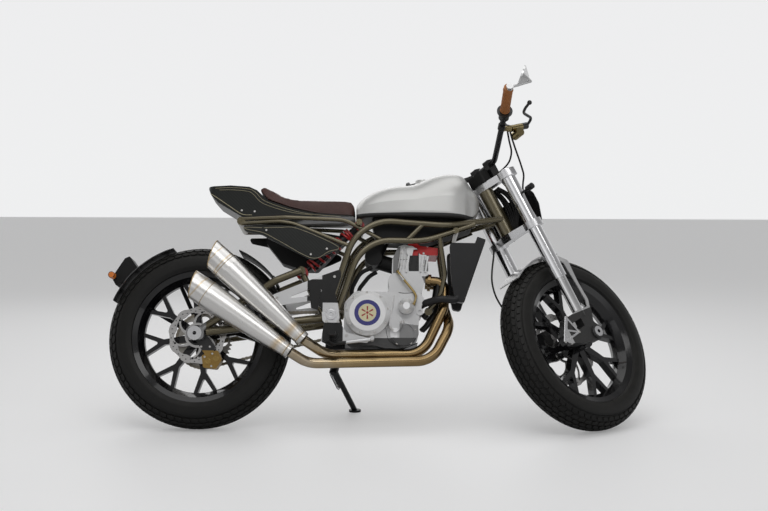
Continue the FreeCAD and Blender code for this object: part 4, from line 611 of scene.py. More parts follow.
def header_colour(tree):
    cloud = noise(tree, on_surface(tree), 22.0, 4.0)
    warm = sums(tree, "DIVIDE", sums(tree, "SUBTRACT", bike_measure(tree, "X"), 330.0), 560.0)
    warm = plus(tree, warm, times(tree, centred(tree, cloud), 0.5))
    return colour_scale(tree, warm, (0.0, (0.5, 0.43, 0.33, 1)), (0.45, (0.38, 0.28, 0.145, 1)),
                        (1.0, (0.25, 0.17, 0.08, 1)))


wear(["exhaust_headers"], finish("heat_tinted_pipe", header_colour, rough=0.24, metal=1.0,
                                 streaks=(bike_forward, 0.1), bump=0.02, dust=0.03))
print("exhaust ready")

# %% [markdown]
# The tank is satin silver: a fine flake under a soft clear coat. A tiny sparkle in the grain and
# a broad, even highlight are what tell it from plain grey. Below them, where the metal turns under,
# the tank is painted near-black as painted shade.

# %% Tank
# painted shade: the tank's lower part, where the metal turns under, is painted near-black
tank_underside_painted_shade = masked(bike_place, ((500, -200, 440), (1100, 200, 812.0)))
wear(["fuel_tank"], finish(
    "satin_silver_flake", two_tone(tank_underside_painted_shade, (0.6, 0.6, 0.585, 1), grey(0.05)), rough=0.4, metal=0.5,
    coat=0.2, coat_rough=0.3, variation=0.07, size=1500.0, bump=0.02, dust=0.02))
print("tank ready")

# %% [markdown]
# The tail and side panels are a dark woven shell under gloss. The weave lies flat to the bike's
# side, so the bike's ruler gives it its threads, and the clear coat sits on the shader itself.

# %% Woven shell
light_thread, dark_thread = (0.009, 0.011, 0.009), (0.004, 0.005, 0.004)
woven_shell = finish("woven_shell", light_thread, rough=0.34, coat=0.5, coat_rough=0.06, variation=0.2,
                     size=300.0, dust=0.03, shine=0.2)
tree = woven_shell.node_tree
cloth = use(tree, weave, Place=use(tree, bike_place)["Place"], Thread=3.2)
threads = mixed(tree, cloth["Warp"], (*dark_thread, 1), (*light_thread, 1))
tree.links.new(threads, fed_by(woven_shell, "GROUP", fine_grain).inputs["Colour"])
raised = fed_by(woven_shell, "BUMP")
tree.links.new(cloth["Height"], raised.inputs["Height"])
raised.inputs["Strength"].default_value = 0.12
wear(("tail_unit", "side_panels"), woven_shell)
print("woven shell on tail and panels")

# %% [markdown]
# What is left is small and mostly dark: moulded plastic with a soft grain, satin black metal,
# rubber, chain steel and gold caliper bodies. Each gets its own values from the same builder.

# %% Dark parts, rubber and gold
satin_black = finish("satin_black_metal", (0.007, 0.007, 0.008), rough=0.34, variation=0.3, size=400.0,
                     dust=0.03, shine=0.35)
moulded_black = finish("moulded_black", (0.007, 0.007, 0.007), rough=0.5, variation=0.3, size=1100.0,
                       bump=0.2, dust=0.03, shine=0.2)
hose_black = finish("hose_rubber", (0.007, 0.007, 0.007), rough=0.42, variation=0.25, size=800.0,
                    bump=0.1, shine=0.3)
wear(("belly_plate", "stand_bracket", "side_stand", "radiator"), satin_black)
wear(("airbox_and_guards", "rear_mudguard", "instrument"), moulded_black)
wear(["brake_hoses"], hose_black)
wear(["handlebar"], finish("black_anodised_bar", (0.008, 0.008, 0.009), rough=0.26, variation=0.15,
                           streaks=(fork_left, 0.1), bump=0.02))
gold_anodised = finish("gold_anodised", (0.36, 0.24, 0.08), rough=0.3, metal=1.0, variation=0.12, size=700.0)
caliper_arm_top = 286.0


def caliper_arm(tree):
    return sums(tree, "GREATER_THAN", bike_measure(tree, "Z"), caliper_arm_top)


wear(["rear_caliper"], finish(
    "gold_caliper_and_arm", two_tone(caliper_arm, (0.3, 0.19, 0.06, 1), grey(0.03)), rough=0.32,
    metal=two_tone(caliper_arm, 1.0, 0.3), variation=0.14, size=700.0))
wear(["front_caliper"], finish("black_caliper", (0.02, 0.02, 0.022), rough=0.4, metal=0.5, variation=0.2,
                               size=800.0, bump=0.1))
print("dark parts ready")

# %% [markdown]
# The cast wheels are gloss black, the discs ground steel with a fine lay, the chain oiled steel.
# The tyres' rubber is a little dusty and hardly shines.

# %% Wheels, discs, chain and sprocket
wear(("front_wheel", "rear_wheel"), finish(
    "gloss_black_wheel", (0.004, 0.004, 0.005), rough=0.16, coat=0.5, coat_rough=0.04, variation=0.2,
    size=300.0, bump=0.01, dust=0.03, shine=0.3))
ground_steel = finish("ground_disc_steel", (0.52, 0.51, 0.5), rough=0.26, metal=1.0, variation=0.12,
                      streaks=(bike_forward, 0.16), bump=0.03, dust=0.0)
wear(("front_brake_disc", "rear_brake_disc"), ground_steel)
chain_finish = finish("oiled_chain_steel", (0.3, 0.27, 0.22), rough=0.34, metal=1.0, variation=0.3,
                      size=900.0, bump=0.1)
wear(["drive_chain"], chain_finish)
wear(["rear_sprocket"], finish("sprocket_steel", (0.42, 0.4, 0.36), rough=0.3, metal=1.0, variation=0.15,
                               streaks=(bike_up, 0.1)))
tyre_rubber = finish("tyre_rubber", (0.0085, 0.0085, 0.008), rough=0.5, variation=0.3, size=500.0,
                     bump=0.12, shine=0.22)
wear(("front_tyre", "rear_tyre"), tyre_rubber)
print("wheels ready")

# %% [markdown]
# The last solids get their finishes here. Where one solid carries several, boxes in the right ruler
# pick them out: bright hangers with black pegs and dark windows that are painted shade, and black
# controls with a gold fluid pot and silver bits at their ends. The seat's colour and creases both
# come from the hide effect.

# %% Parts with more than one finish, and the seat
wear(["front_mudguard"], finish("silver_mudguard", (0.62, 0.62, 0.62), rough=0.3, metal=0.7, coat=0.3,
                                variation=0.08))
wear(["shock"], finish("red_spring_and_body", (0.5, 0.014, 0.014), rough=0.3, metal=0.2, coat=0.5,
                       variation=0.15))
wear(["front_plate"], finish("black_front_plate", (0.008, 0.008, 0.009), rough=0.38, variation=0.2,
                             size=800.0, bump=0.08, shine=0.35))
# besides the black pegs, this mask paints dark windows on the hanger plates: painted shade
pegs_and_painted_shade = masked(bike_place, *both_sides(
    ((470, 140, 300), (560, 300, 380)), ((412, 137.9, 428), (470, 160, 550)),
    ((466, 118, 462), (640, 160, 670)), ((470, 118, 290), (546, 160, 388))))
wear(["footrests"], finish(
    "hanger_alloy_pegs_and_painted_shade", two_tone(pegs_and_painted_shade, grey(0.66), grey(0.012)), rough=0.3,
    metal=two_tone(pegs_and_painted_shade, 1.0, 0.4), variation=0.08, bump=0.03))
grip_tan = finish("tan_grip_rubber", (0.42, 0.16, 0.045), rough=0.6, variation=0.2, bump=0.15)
wear(["grips"], grip_tan)
silver_bits = masked(fork_place, *both_sides(((-200, 424, 1150), (60, 560, 1400))))
gold_bits = masked(fork_place, ((-30, -300, 1108), (62, -196, 1184)))


def control_colour(tree):
    dark_or_gold = mixed(tree, gold_bits(tree), grey(0.012), (0.3, 0.24, 0.12, 1))
    return mixed(tree, silver_bits(tree), dark_or_gold, grey(0.7))


def control_metal(tree):
    return sums(tree, "MAXIMUM", silver_bits(tree), gold_bits(tree))


wear(["bar_controls"], finish("controls_black_gold_silver", control_colour, rough=0.28,
                              metal=control_metal, variation=0.05, size=200.0, bump=0.01))


def hide_colour(tree):
    return use(tree, hide, Colour=(0.085, 0.03, 0.022, 1), Crease=(0.03, 0.011, 0.009, 1))["Colour"]


leather = finish("dark_maroon_hide", hide_colour, rough=0.48, variation=0.1, bump=0.25)
creases = fed_by(leather, "GROUP", hide).outputs["Height"]
leather.node_tree.links.new(creases, fed_by(leather, "BUMP").inputs["Height"])
wear(["seat"], leather)
missing = [n for n, o in frame["nodes"].items() if not o.data.materials]
print("nodes without a finish:", missing)

# %% [markdown]
# The small pieces are joined meshes made in code. One class gathers rings, tubes, hoops and screws
# and turns them into an object that rides on a body. A helper finds where a line meets a solid,
# so that a screw or a stripe lies exactly on the surface it belongs to.

# %% Mesh helpers


def cross_pair(axis):
    """two directions square to an axis"""
    first = axis.orthogonal().normalized()
    return first, axis.cross(first).normalized()


def circle(centre, first, second, radius, count):
    return [centre + spoke(first, second, math.tau * i / count) * radius for i in range(count)]


def spiral(start, axis, radius, begin, length, turns, steps, phase=0.0):
    """a wound line whose first point lies `begin` along the axis"""
    first, second = cross_pair(axis)
    return [start + axis * (begin + length * i / steps)
            + spoke(first, second, phase + math.tau * turns * i / steps) * radius
            for i in range(steps + 1)]


class Mesh:
    """collects points and faces of many small bodies for one joined mesh"""

    def __init__(self):
        self.points, self.faces = [], []

    def skin(self, rings, closed):
        """faces from each ring to the next"""
        base, count = len(self.points), len(rings[0])
        for ring in rings:
            self.points += ring
        for level in range(len(rings) if closed else len(rings) - 1):
            low, high = base + level * count, base + (level + 1) % len(rings) * count
            for i in range(count):
                j = (i + 1) % count
                self.faces.append((low + i, low + j, high + j, high + i))
        return [base + i for i in range(count)]

    def rings(self, rings, cap_first=True):
        """a body with its ends closed"""
        around = self.skin(rings, False)
        if cap_first:
            self.faces.append(tuple(around[::-1]))
        last = (len(rings) - 1) * len(around)
        self.faces.append(tuple(last + i for i in around))

    def loop(self, rings):
        """rings joined into a closed hoop"""
        self.skin(rings, True)

    def turned(self, centre, axis, profile, count=24):
        """profile: (radius, height along the axis) in millimetres, from bottom to top"""
        first, second = cross_pair(axis)
        self.rings([circle(centre + axis * (h / 1000), first, second, max(r, 0.05) / 1000, count)
                    for r, h in profile])

    def hoop(self, centre, axis, radius, wire, count=48, around=8):
        first, second = cross_pair(axis)
        outs = [spoke(first, second, math.tau * i / count) for i in range(count)]
        self.loop([circle(centre + out * radius, out, axis, wire, around) for out in outs])

    def tube(self, path, wire, around=8):
        rings = []
        side = None
        for i, point in enumerate(path):
            ahead = (path[min(i + 1, len(path) - 1)] - path[max(i - 1, 0)]).normalized()
            side = cross_pair(ahead)[0] if side is None else (side - ahead * side.dot(ahead)).normalized()
            rings.append(circle(point, side, ahead.cross(side), wire, around))
        self.rings(rings)

    def socket_screw(self, centre, axis, radius, height):
        """cap screw with a rounded edge and a six-sided socket"""
        first, second = cross_pair(axis)
        flat = math.cos(math.pi / 6)

        def ring(r, h, hexed=False):
            return [centre + spoke(first, second, math.pi * i / 6) * (r * (flat if hexed and i % 2 else 1.0))
                    + axis * h for i in range(12)]

        self.rings([ring(radius, -0.001), ring(radius, height * 0.8), ring(radius * 0.86, height),
                    ring(radius * 0.56, height, True), ring(radius * 0.5, height * 0.45, True)])

    def done(self, name, made, body, slot, smooth=False):
        """one object of all of it, riding on a body"""
        mesh = bpy.data.meshes.new(name)
        mesh.from_pydata([tuple(p) for p in self.points], [], self.faces)
        mesh.validate()
        work = bmesh.new()
        work.from_mesh(mesh)
        bmesh.ops.recalc_face_normals(work, faces=work.faces)
        work.to_mesh(mesh)
        work.free()
        if smooth:
            mesh.shade_smooth()
        mesh.materials.append(made)
        piece = in_scene(name, mesh)
        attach(piece, body)
        return piece


def surface(mesh):
    return BVHTree.FromPolygons([v.co for v in mesh.vertices], [p.vertices for p in mesh.polygons])


surface_of = {}


def touch(node, start, direction):
    """where a line first meets a solid, and the surface's direction there"""
    if node not in surface_of:
        surface_of[node] = surface(frame["nodes"][node].data)
    spot, normal, _, _ = surface_of[node].ray_cast(start, direction.normalized())
    if spot is not None and normal.dot(direction) > 0:
        normal = -normal
    return spot, normal


def from_side(node, x, z, side=-1):
    """meets the node from the bike's right (-1) or left (1) at that place in the side view"""
    return touch(node, bike(x, side * 500, z), bike_left * -side)


print("mesh helpers ready")

# %% [markdown]
# A tyre is a carcass turned round the axle with tread blocks standing on it. The real pattern is
# rows of six-sided blocks, each row shifted by half a block, so the grooves run in zigzags. Each
# block is a small bevelled prism bent to the tyre's crown. Building them as one joined mesh keeps
# the count low, and grooves this deep need real shape, since a bump map would leave the tyre's
# outline smooth.

# %% Tyres with block tread


def tread_tyre(name, node, centre, axle, crown, rim_half, rows, spread, around):
    first, second = cross_pair(axle)
    core, groove = tyre_height - crown, 0.0052

    def place(turn, slope, reach):
        out = spoke(first, second, turn)
        return centre + out * (core + reach * math.cos(slope)) + axle * (reach * math.sin(slope))

    bead = [(0.2425, -rim_half + 0.006), (0.247, -rim_half + 0.001)]
    profile = list(bead)
    for slope in [math.radians(a) for a in range(-112, 113, 4)]:
        part = abs(math.degrees(slope))
        reach = crown - (groove if part < spread + 3 else 0.0012 if part < spread + 8 else 0.0004)
        for ridge in (spread + 12, 96, 101):
            if abs(part - ridge) < 1.6:
                reach += 0.0006
        profile.append((core + reach * math.cos(slope), reach * math.sin(slope)))
    profile += [(radius, -side) for radius, side in reversed(bead)]
    tyre = Mesh()
    outs = [spoke(first, second, math.tau * i / 144) for i in range(144)]
    tyre.loop([[centre + out * radius + axle * side for radius, side in profile] for out in outs])
    outline = [(-1, -0.72), (0, -1.16), (1, -0.72), (1, 0.72), (0, 1.16), (-1, 0.72)]
    row_width = 2 * math.radians(spread) / rows
    pitch = math.tau / around
    block_levels = ((1.06, crown - groove - 0.0006), (1.0, crown - 0.0014), (0.9, crown - 0.0004))
    half_across = row_width * 0.5 - 0.0016 / crown
    half_along = pitch * 0.5 - 0.0021 / tyre_height
    for row in range(rows):
        middle = -math.radians(spread) + row_width * (row + 0.5)
        tilt = 0.16 * (1 if row % 2 else -1)
        for number in range(around):
            turn = pitch * (number + 0.5 * (row % 2))
            tyre.rings([[place(turn + (u + v * tilt) * half_along * shrink,
                               middle + v * half_across * 0.86 * shrink, reach) for u, v in outline]
                        for shrink, reach in block_levels], cap_first=False)
    piece = tyre.done(name, tyre_rubber, node.replace("tyre", "wheel"), smooth=True, slot="tyre_rubber")
    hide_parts(node)
    piece.modifiers.new("soft_edges", "EDGE_SPLIT").split_angle = math.radians(32)
    return piece


front_tread = tread_tyre("front_tread_tyre", "front_tyre", front_centre, fork_left, 0.065, 0.046, 7, 62, 66)
rear_tread = tread_tyre("rear_tread_tyre", "rear_tyre", rear_centre, bike_left, 0.070, 0.052, 7, 60, 66)
print("tread faces:", len(front_tread.data.polygons), len(rear_tread.data.polygons))

# %% [markdown]
# The chain is two kinds of plates in turn, joined by pins inside rollers. In the frame it is a
# plain band; here each link is laid out along the same line, at equal steps round both
# sprockets. The step is the chain's pitch, stretched a hair so that the loop closes.

# %% Chain links
pitch_mm, rear_teeth, front_teeth = 15.875, 42, 15
chain_side, plate_end, plate_waist = 86, 5.7, 4.1


def pitch_circle(teeth):
    return pitch_mm / 2 / math.sin(math.pi / teeth)


def flat_ray(turn):
    return Vector((math.cos(turn), math.sin(turn)))


def straight(start, end, steps):
    return [start.lerp(end, i / steps) for i in range(steps)]


def arc(centre, radius, start, sweep, steps):
    return [centre + flat_ray(start + sweep * i / steps) * radius for i in range(steps)]


chain_from = Vector((0, hub_height))
chain_to = Vector((0.4062 * wheelbase, hub_height + 0.0556 * wheelbase))
big, small = pitch_circle(rear_teeth), pitch_circle(front_teeth)
gap = chain_to - chain_from
slope = math.atan2(gap.y, gap.x)
wrap = math.acos((big - small) / gap.length)
over, under = flat_ray(slope + wrap), flat_ray(slope - wrap)
loop_line = (straight(chain_from + over * big, chain_to + over * small, 60)
             + arc(chain_to, small, slope + wrap, -2 * wrap, 40)
             + straight(chain_to + under * small, chain_from + under * big, 60)
             + arc(chain_from, big, slope - wrap, 2 * wrap - math.tau, 90))
lengths = [0.0]
for a, b in zip(loop_line, loop_line[1:] + loop_line[:1]):
    lengths.append(lengths[-1] + (b - a).length)
link_count = int(round(lengths[-1] / pitch_mm / 2)) * 2
pins = []
for number in range(link_count):
    want = lengths[-1] * number / link_count
    at = max(i for i, value in enumerate(lengths[:-1]) if value <= want)
    share = (want - lengths[at]) / (lengths[at + 1] - lengths[at])
    pins.append(loop_line[at].lerp(loop_line[(at + 1) % len(loop_line)], share))
chain = Mesh()
for number in range(link_count):
    here, there = pins[number], pins[(number + 1) % link_count]
    along = (there - here).normalized()
    square = Vector((-along.y, along.x))
    outline = []
    for centre, facing in ((there, 1), (here, -1)):
        for step in range(7):
            out = spoke(along, square, math.radians(-90 + 30 * step))
            outline.append(centre + out * plate_end * facing)
        outline.append((here + there) / 2 + square * plate_waist * facing)
    near, far = (4.0, 5.1) if number % 2 else (5.2, 6.3)
    for side in (1, -1):
        chain.rings([[bike(p.x, chain_side + side * edge, p.y) for p in outline] for edge in (near, far)])
    chain.turned(bike(here.x, chain_side - 4, here.y), bike_left, [(4.5, 0), (4.5, 8)], 12)
    chain.turned(bike(here.x, chain_side - 7, here.y), bike_left,
                 [(2.2, 0), (2.6, 0.4), (2.6, 13.6), (2.2, 14)], 8)
links = chain.done("chain_links", chain_finish, "chassis", slot="chain_steel")
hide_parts("drive_chain")
print("links:", link_count, "faces:", len(links.data.polygons))

# %% [markdown]
# Screws tell the eye how big things are. Each group below is one joined mesh of socket screws:
# their places are given in the side view, and each is set on the surface that a line from the
# side meets there.

# %% Engine screws
screw_steel = finish("screw_steel", (0.6, 0.59, 0.57), rough=0.28, metal=1.0, variation=0.15, size=900.0)
dark_screw = finish("dark_screw", (0.03, 0.03, 0.03), rough=0.35, metal=0.7, variation=0.2, size=900.0)


def side_screws(name, groups, made, body="chassis", radius=4.6, height=4.0, slot="bright_alloy"):
    """groups: (node, side, list of places)"""
    mesh = Mesh()
    asked = 0
    for node, side, spots in groups:
        asked += len(spots)
        for x, z in spots:
            spot, _ = from_side(node, x, z, side)
            if spot is not None:
                mesh.socket_screw(spot, bike_left * side, radius / 1000, height / 1000)
    mesh.done(name, made, body, slot=slot)
    print(name, "screws:", len(mesh.points) // 60, "asked for:", asked)


def round_places(x, z, radius, count, start=0.0):
    turns = [math.radians(start + 360 * i / count) for i in range(count)]
    return [(x + radius * math.cos(turn), z + radius * math.sin(turn)) for turn in turns]


side_screws("cover_screws", [
    ("clutch_cover", -1, round_places(636, 423, 76, 9, 12)),
    ("crankcase", -1, round_places(771, 353, 44, 5, 20) + [(716, 432), (722, 372), (760, 392)]),
    ("crankcase", -1, round_places(780, 454, 23, 3, 40)),
    ("crankcase", 1, round_places(716, 425, 62, 6, 10)),
], screw_steel)
side_screws("head_screws", [
    ("cylinder_head", -1, [(762, 668), (762, 620), (846, 668), (846, 620), (850, 560), (768, 560)]),
    ("cylinder_head", 1, [(762, 668), (762, 620), (846, 668), (846, 620)]),
], screw_steel, radius=4.2)

# %% [markdown]
# The clutch cover carries a round badge on the real machine. A generic one stands in for it: a
# dark blue ring, a cream middle and six plain wedges. It is turned and cut as thin discs instead
# of painted, so its edges stay crisp close up.

# %% Badge on the clutch cover
badge_blue = finish("badge_blue_enamel", (0.03, 0.03, 0.2), rough=0.22, coat=0.8, variation=0.1)
badge_cream = finish("badge_cream_enamel", (0.72, 0.66, 0.42), rough=0.25, coat=0.8, variation=0.06)
badge_maroon = finish("badge_maroon_enamel", (0.35, 0.03, 0.03), rough=0.25, coat=0.8, variation=0.06)
face_spot, _ = from_side("clutch_cover", 636, 423, -1)
outward = -bike_left


def on_cover(turn, reach, height):
    """a place over the cover's face, in millimetres from the badge's middle"""
    return face_spot + outward * (height / 1000) + spoke(bike_forward, bike_up, turn) * (reach / 1000)


badge_ring = Mesh()
lift = [(33.0, 0.0), (33.0, 0.5), (48.0, 0.5), (48.0, 0.0)]
badge_ring.loop([[on_cover(math.tau * i / 96, r, h) for r, h in lift] for i in range(96)])
badge_ring.done("badge_ring", badge_blue, "chassis", slot="bright_alloy")
badge_middle = Mesh()
badge_middle.turned(face_spot, outward, [(32.6, 0.0), (32.6, 0.35), (32.2, 0.45)], 72)
badge_middle.done("badge_middle", badge_cream, "chassis", slot="bright_alloy")
wedges = Mesh()
shape = [(8, -0.25), (24, -0.13), (24, 0.13), (8, 0.25)]
for number in range(6):
    turn = math.radians(60 * number + 30)
    wedges.rings([[on_cover(turn + t, r, h) for r, t in shape] for h in (0.4, 0.75)])
wedges.turned(face_spot, outward, [(5, 0.4), (5, 0.8), (4.5, 0.9)], 24)
wedges.done("badge_wedges", badge_maroon, "chassis", slot="bright_alloy")
print("badge at", [round(v, 3) for v in face_spot])

# %% [markdown]
# Thin pale bronze stripes follow the edges of the tail and the side panels. Each is a fine tube
# whose points are dropped onto the shell from the side, so it hugs the curve. The corners of the
# line are given in the side view and filled in between.

# %% Pin stripes
stripe_bronze = finish("stripe_bronze", (0.36, 0.32, 0.2), rough=0.35, metal=0.3, coat=0.5, variation=0.1)


def smooth_line(corners, steps=10, closed=False):
    """a soft line through corners in the side view"""
    points = []
    count = len(corners)
    last = count if closed else count - 1
    for i in range(last):
        p0 = corners[(i - 1) % count] if closed or i > 0 else corners[i]
        p1, p2 = corners[i], corners[(i + 1) % count]
        p3 = corners[(i + 2) % count] if closed or i + 2 < count else p2
        for t in [k / steps for k in range(steps)]:
            points.append(tuple(
                0.5 * (2 * b + (c - a) * t + (2 * a - 5 * b + 4 * c - d) * t * t
                       + (3 * b - a - 3 * c + d) * t ** 3) for a, b, c, d in zip(p0, p1, p2, p3)))
    if not closed:
        points.append(corners[-1])
    return points


def stripe(mesh, node, corners, side, wire=0.9, closed=False, sunk=0.3):
    path = []
    for x, z in smooth_line(corners, closed=closed):
        spot, normal = from_side(node, x, z, side)
        if spot is None or (path and (spot - path[-1]).length > 0.05):
            if len(path) > 2:
                mesh.tube(path, wire / 1000, 6)
            path = []
            if spot is None:
                continue
        path.append(spot + normal * ((wire - sunk) / 1000 * 0.5))
    if len(path) > 2:
        mesh.tube(path, wire / 1000, 6)


panel_line = [(240, 751), (300, 753), (372, 748), (520, 682), (486, 661), (424, 636), (304, 698),
              (240, 731), (178, 744), (172, 752)]
tail_low = [(24, 896), (60, 872), (104, 842), (150, 812), (190, 808)]
tail_high = [(44, 915), (104, 917), (172, 911), (200, 898), (240, 862), (336, 827), (430, 808), (560, 800)]
tail_inner = [(60, 908), (110, 908), (168, 902), (192, 890), (232, 853), (330, 820), (420, 806)]
stripes = Mesh()
for side in (-1, 1):
    stripe(stripes, "side_panels", panel_line, side, closed=True)
    stripe(stripes, "tail_unit", tail_low, side, 1.6)
    stripe(stripes, "tail_unit", tail_high, side)
    stripe(stripes, "tail_unit", tail_inner, side)
stripes.done("pin_stripes", stripe_bronze, "chassis", smooth=True, slot="dark_shell")
panel_places, tail_places = [(250, 742), (480, 672), (420, 650)], [(200, 822), (150, 826)]
side_screws("panel_screws", [("side_panels", s, panel_places) for s in (-1, 1)]
            + [("tail_unit", s, tail_places) for s in (-1, 1)], screw_steel, radius=4.0, height=2.4)

# %% [markdown]
# The silencers are rolled cones. At the mouth the sheet is turned back over a wire, which makes a
# lip. One weld bead runs a little way in from the mouth, another beside the clamp at the pipe.
# The lip follows the slanted cut, so its ring is worked out from the cone and the mouth's plane.

# %% Silencer lips, welds and clamps
weld_bronze = finish("weld_bronze", (0.5, 0.38, 0.22), rough=0.34, metal=1.0, variation=0.3, size=700.0,
                     bump=0.2)
exhaust_rings = Mesh()
clamps = Mesh()
for start, high, low in ((bike(400, -168.6, 322), bike(80, -196, 669), bike(52, -196, 589)),
                         (bike(352, -172.5, 276), bike(11, -196, 560), bike(-14, -196, 471))):
    middle = (high + low) / 2
    axis = (middle - start).normalized()
    length = (middle - start).length
    first, second = cross_pair(axis)
    slant = (high - low).normalized().cross(bike_left).normalized()
    full = length + 0.052

    def cone(s):
        """the cone's radius near its mouth"""
        taper = (s - 0.82 * length) / (full - 0.82 * length)
        return 0.052 + (0.04784 - 0.052) * taper if s > 0.82 * length else 0.0

    rim = []
    for i in range(64):
        out = spoke(first, second, math.tau * i / 64)
        s = length
        for _ in range(12):
            point = start + axis * s + out * cone(s)
            s -= (point - middle).dot(slant) / axis.dot(slant)
        rim.append(start + axis * s + out * (cone(s) - 0.0012))
    exhaust_rings.loop([circle(point, (point - middle).normalized(), slant, 0.0024, 8) for point in rim])
    exhaust_rings.hoop(start + axis * (length - 0.062), axis, cone(length * 0.83) + 0.0005, 0.0011)
    clamps.turned(start + axis * -0.004, axis, [(27.5, 0), (28.5, 1), (28.5, 13), (27.5, 14)], 32)
    exhaust_rings.hoop(start + axis * 0.012, axis, 0.0262, 0.0014)
exhaust_rings.done("silencer_lips", weld_bronze, "chassis", smooth=True, slot="brushed_pipe")
clamps.done("pipe_clamps", screw_steel, "chassis", slot="brushed_pipe")
print("exhaust trim ready")

# %% [markdown]
# The seat is foam under a hide cover. It starts as the frame's plain seat, remeshed fine and
# drawn in by a few millimetres, and is then blown up as cloth: pressure rounds the top and sides
# while its underside stays pinned to the tail. A cap on how far a point may move keeps it in its
# place. Ribs and edge seams are pressed in afterwards, because remeshing would erase them.

# %% Seat cushion: remesh and inflate
solid_seat = frame["nodes"]["seat"]
seat_surface = surface(solid_seat.data)
drawn_in, furthest_move, proud_of_seat = 0.0035, 0.008, 0.0015
last_moment = 20


def baked(piece, name):
    graph = bpy.context.evaluated_depsgraph_get()
    mesh = bpy.data.meshes.new_from_object(piece.evaluated_get(graph))
    mesh.name = name
    return mesh


def used_up(piece, name):
    """the finished mesh of an object that has done its work"""
    mesh = baked(piece, name)
    bpy.data.objects.remove(piece)
    return mesh


rough_pad = in_scene("rough_pad", solid_seat.data.copy())
remesh = rough_pad.modifiers.new("even_skin", "REMESH")
remesh.mode = "VOXEL"
remesh.voxel_size = 0.005
pad_mesh = used_up(rough_pad, "seat_cushion")
seat_cushion = in_scene("seat_cushion", pad_mesh)
for vertex, normal in zip(pad_mesh.vertices, [v.normal.copy() for v in pad_mesh.vertices]):
    vertex.co -= normal * drawn_in
start_places = [v.co.copy() for v in pad_mesh.vertices]
held = seat_cushion.vertex_groups.new(name="held_below")
for vertex in pad_mesh.vertices:
    if vertex.normal.dot(bike_up) < -0.35:
        held.add([vertex.index], 1.0, "REPLACE")
cloth = seat_cushion.modifiers.new("foam_pressure", "CLOTH")
for setting, value in (("quality", 6), ("mass", 0.3), ("tension_stiffness", 18),
                       ("compression_stiffness", 18), ("bending_stiffness", 0.6),
                       ("use_pressure", True), ("uniform_pressure_force", 4.0),
                       ("vertex_group_mass", "held_below")):
    setattr(cloth.settings, setting, value)
cloth.settings.effector_weights.gravity = 0.0
cloth.point_cache.frame_start, cloth.point_cache.frame_end = 1, last_moment
for moment in range(1, last_moment + 1):
    bpy.context.scene.frame_set(moment)
blown = baked(seat_cushion, "seat_blown")
seat_cushion.modifiers.clear()
moves = [(after.co - before) for after, before in zip(blown.vertices, start_places)]
bpy.context.scene.frame_set(1)
for vertex, before, move in zip(pad_mesh.vertices, start_places, moves):
    if move.length > furthest_move:
        move *= furthest_move / move.length
    vertex.co = before + move
for vertex in pad_mesh.vertices:
    near, normal, _, _ = seat_surface.find_nearest(vertex.co)
    outside = (vertex.co - near).dot(normal)
    if outside > proud_of_seat:
        vertex.co -= normal * (outside - proud_of_seat)
print("cushion points:", len(pad_mesh.vertices))

# %% [markdown]
# One subdivision smooths the blown skin. Shallow channels are then pressed across the seat at
# even steps, deepest in the middle and fading at the sides, and one channel runs round where the
# top panel is sewn to the side.

# %% Seat cushion: ribs and seam
smooth_skin = seat_cushion.modifiers.new("smooth_skin", "SUBSURF")
smooth_skin.levels = smooth_skin.render_levels = 1
fine_mesh = baked(seat_cushion, "seat_cushion_fine")
seat_cushion.modifiers.clear()
seat_cushion.data = fine_mesh
rib_step, ribs_from, ribs_to = 24.0, 262, 568


def seat_half(x):
    """half the seat's width there; it narrows towards the tank"""
    return 96 - 13 * min(max((x - 208) / 376, 0), 1)


for vertex, normal in zip(fine_mesh.vertices, [v.normal.copy() for v in fine_mesh.vertices]):
    offset = (vertex.co - bike(0, 0, 0)) * 1000
    x, y, z = offset.dot(bike_forward), offset.dot(bike_left), offset.dot(bike_up)
    top = max(normal.dot(bike_up), 0.0)
    half = seat_half(x)
    inside = min(max((half - 16 - abs(y)) / 8, 0), 1)
    press = 0.0
    if ribs_from < x < ribs_to:
        nearest_rib = abs((x - ribs_from) % rib_step - rib_step / 2)
        press += 0.0017 * math.exp(-(nearest_rib / 2.2) ** 2) * inside * min(top * 1.6, 1.0)
    press += 0.0016 * math.exp(-((abs(y) - (half - 14)) / 1.9) ** 2) * min(top * 1.8, 1.0)
    vertex.co -= normal * press
fine_mesh.shade_smooth()
fine_mesh.materials.clear()
fine_mesh.materials.append(leather)
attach(seat_cushion, "chassis")
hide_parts("seat")
print("seat triangles:", len(fine_mesh.polygons) * 2)

# %% [markdown]
# A row of stitches runs beside the seam on each side. Each stitch is a tiny round bar set on the
# cushion's own surface, found by a line dropped from above, so the thread follows the foam. The
# piping is a tube along the lower edge, found from the side in the same way.

# %% Stitches and piping
fine_surface = surface(fine_mesh)
thread = finish("maroon_thread", (0.16, 0.07, 0.05), rough=0.7, variation=0.1)
piping_hide = finish("piping_hide", (0.05, 0.02, 0.016), rough=0.45, variation=0.2, size=700.0, bump=0.1)
stitches = Mesh()
for side in (-1, 1):
    x = float(ribs_from)
    while x < 566:
        half = seat_half(x)
        ends = []
        for step in (0.0, 3.4):
            above = bike(x + step, side * (half - 18.5), 1100)
            spot, normal, _, _ = fine_surface.ray_cast(above, -bike_up)
            ends.append(None if spot is None else spot + normal * 0.0003)
        if None not in ends and (ends[0] - ends[1]).length < 0.006:
            stitches.tube([ends[0], (ends[0] + ends[1]) / 2 + bike_up * 0.0003, ends[1]], 0.00045, 5)
        x += 5.2
stitches.done("seat_stitches", thread, "chassis", slot="seat_leather")
welt = Mesh()
welt_line = [(244, 870), (270, 858), (338, 838), (430, 818), (500, 812), (578, 809)]
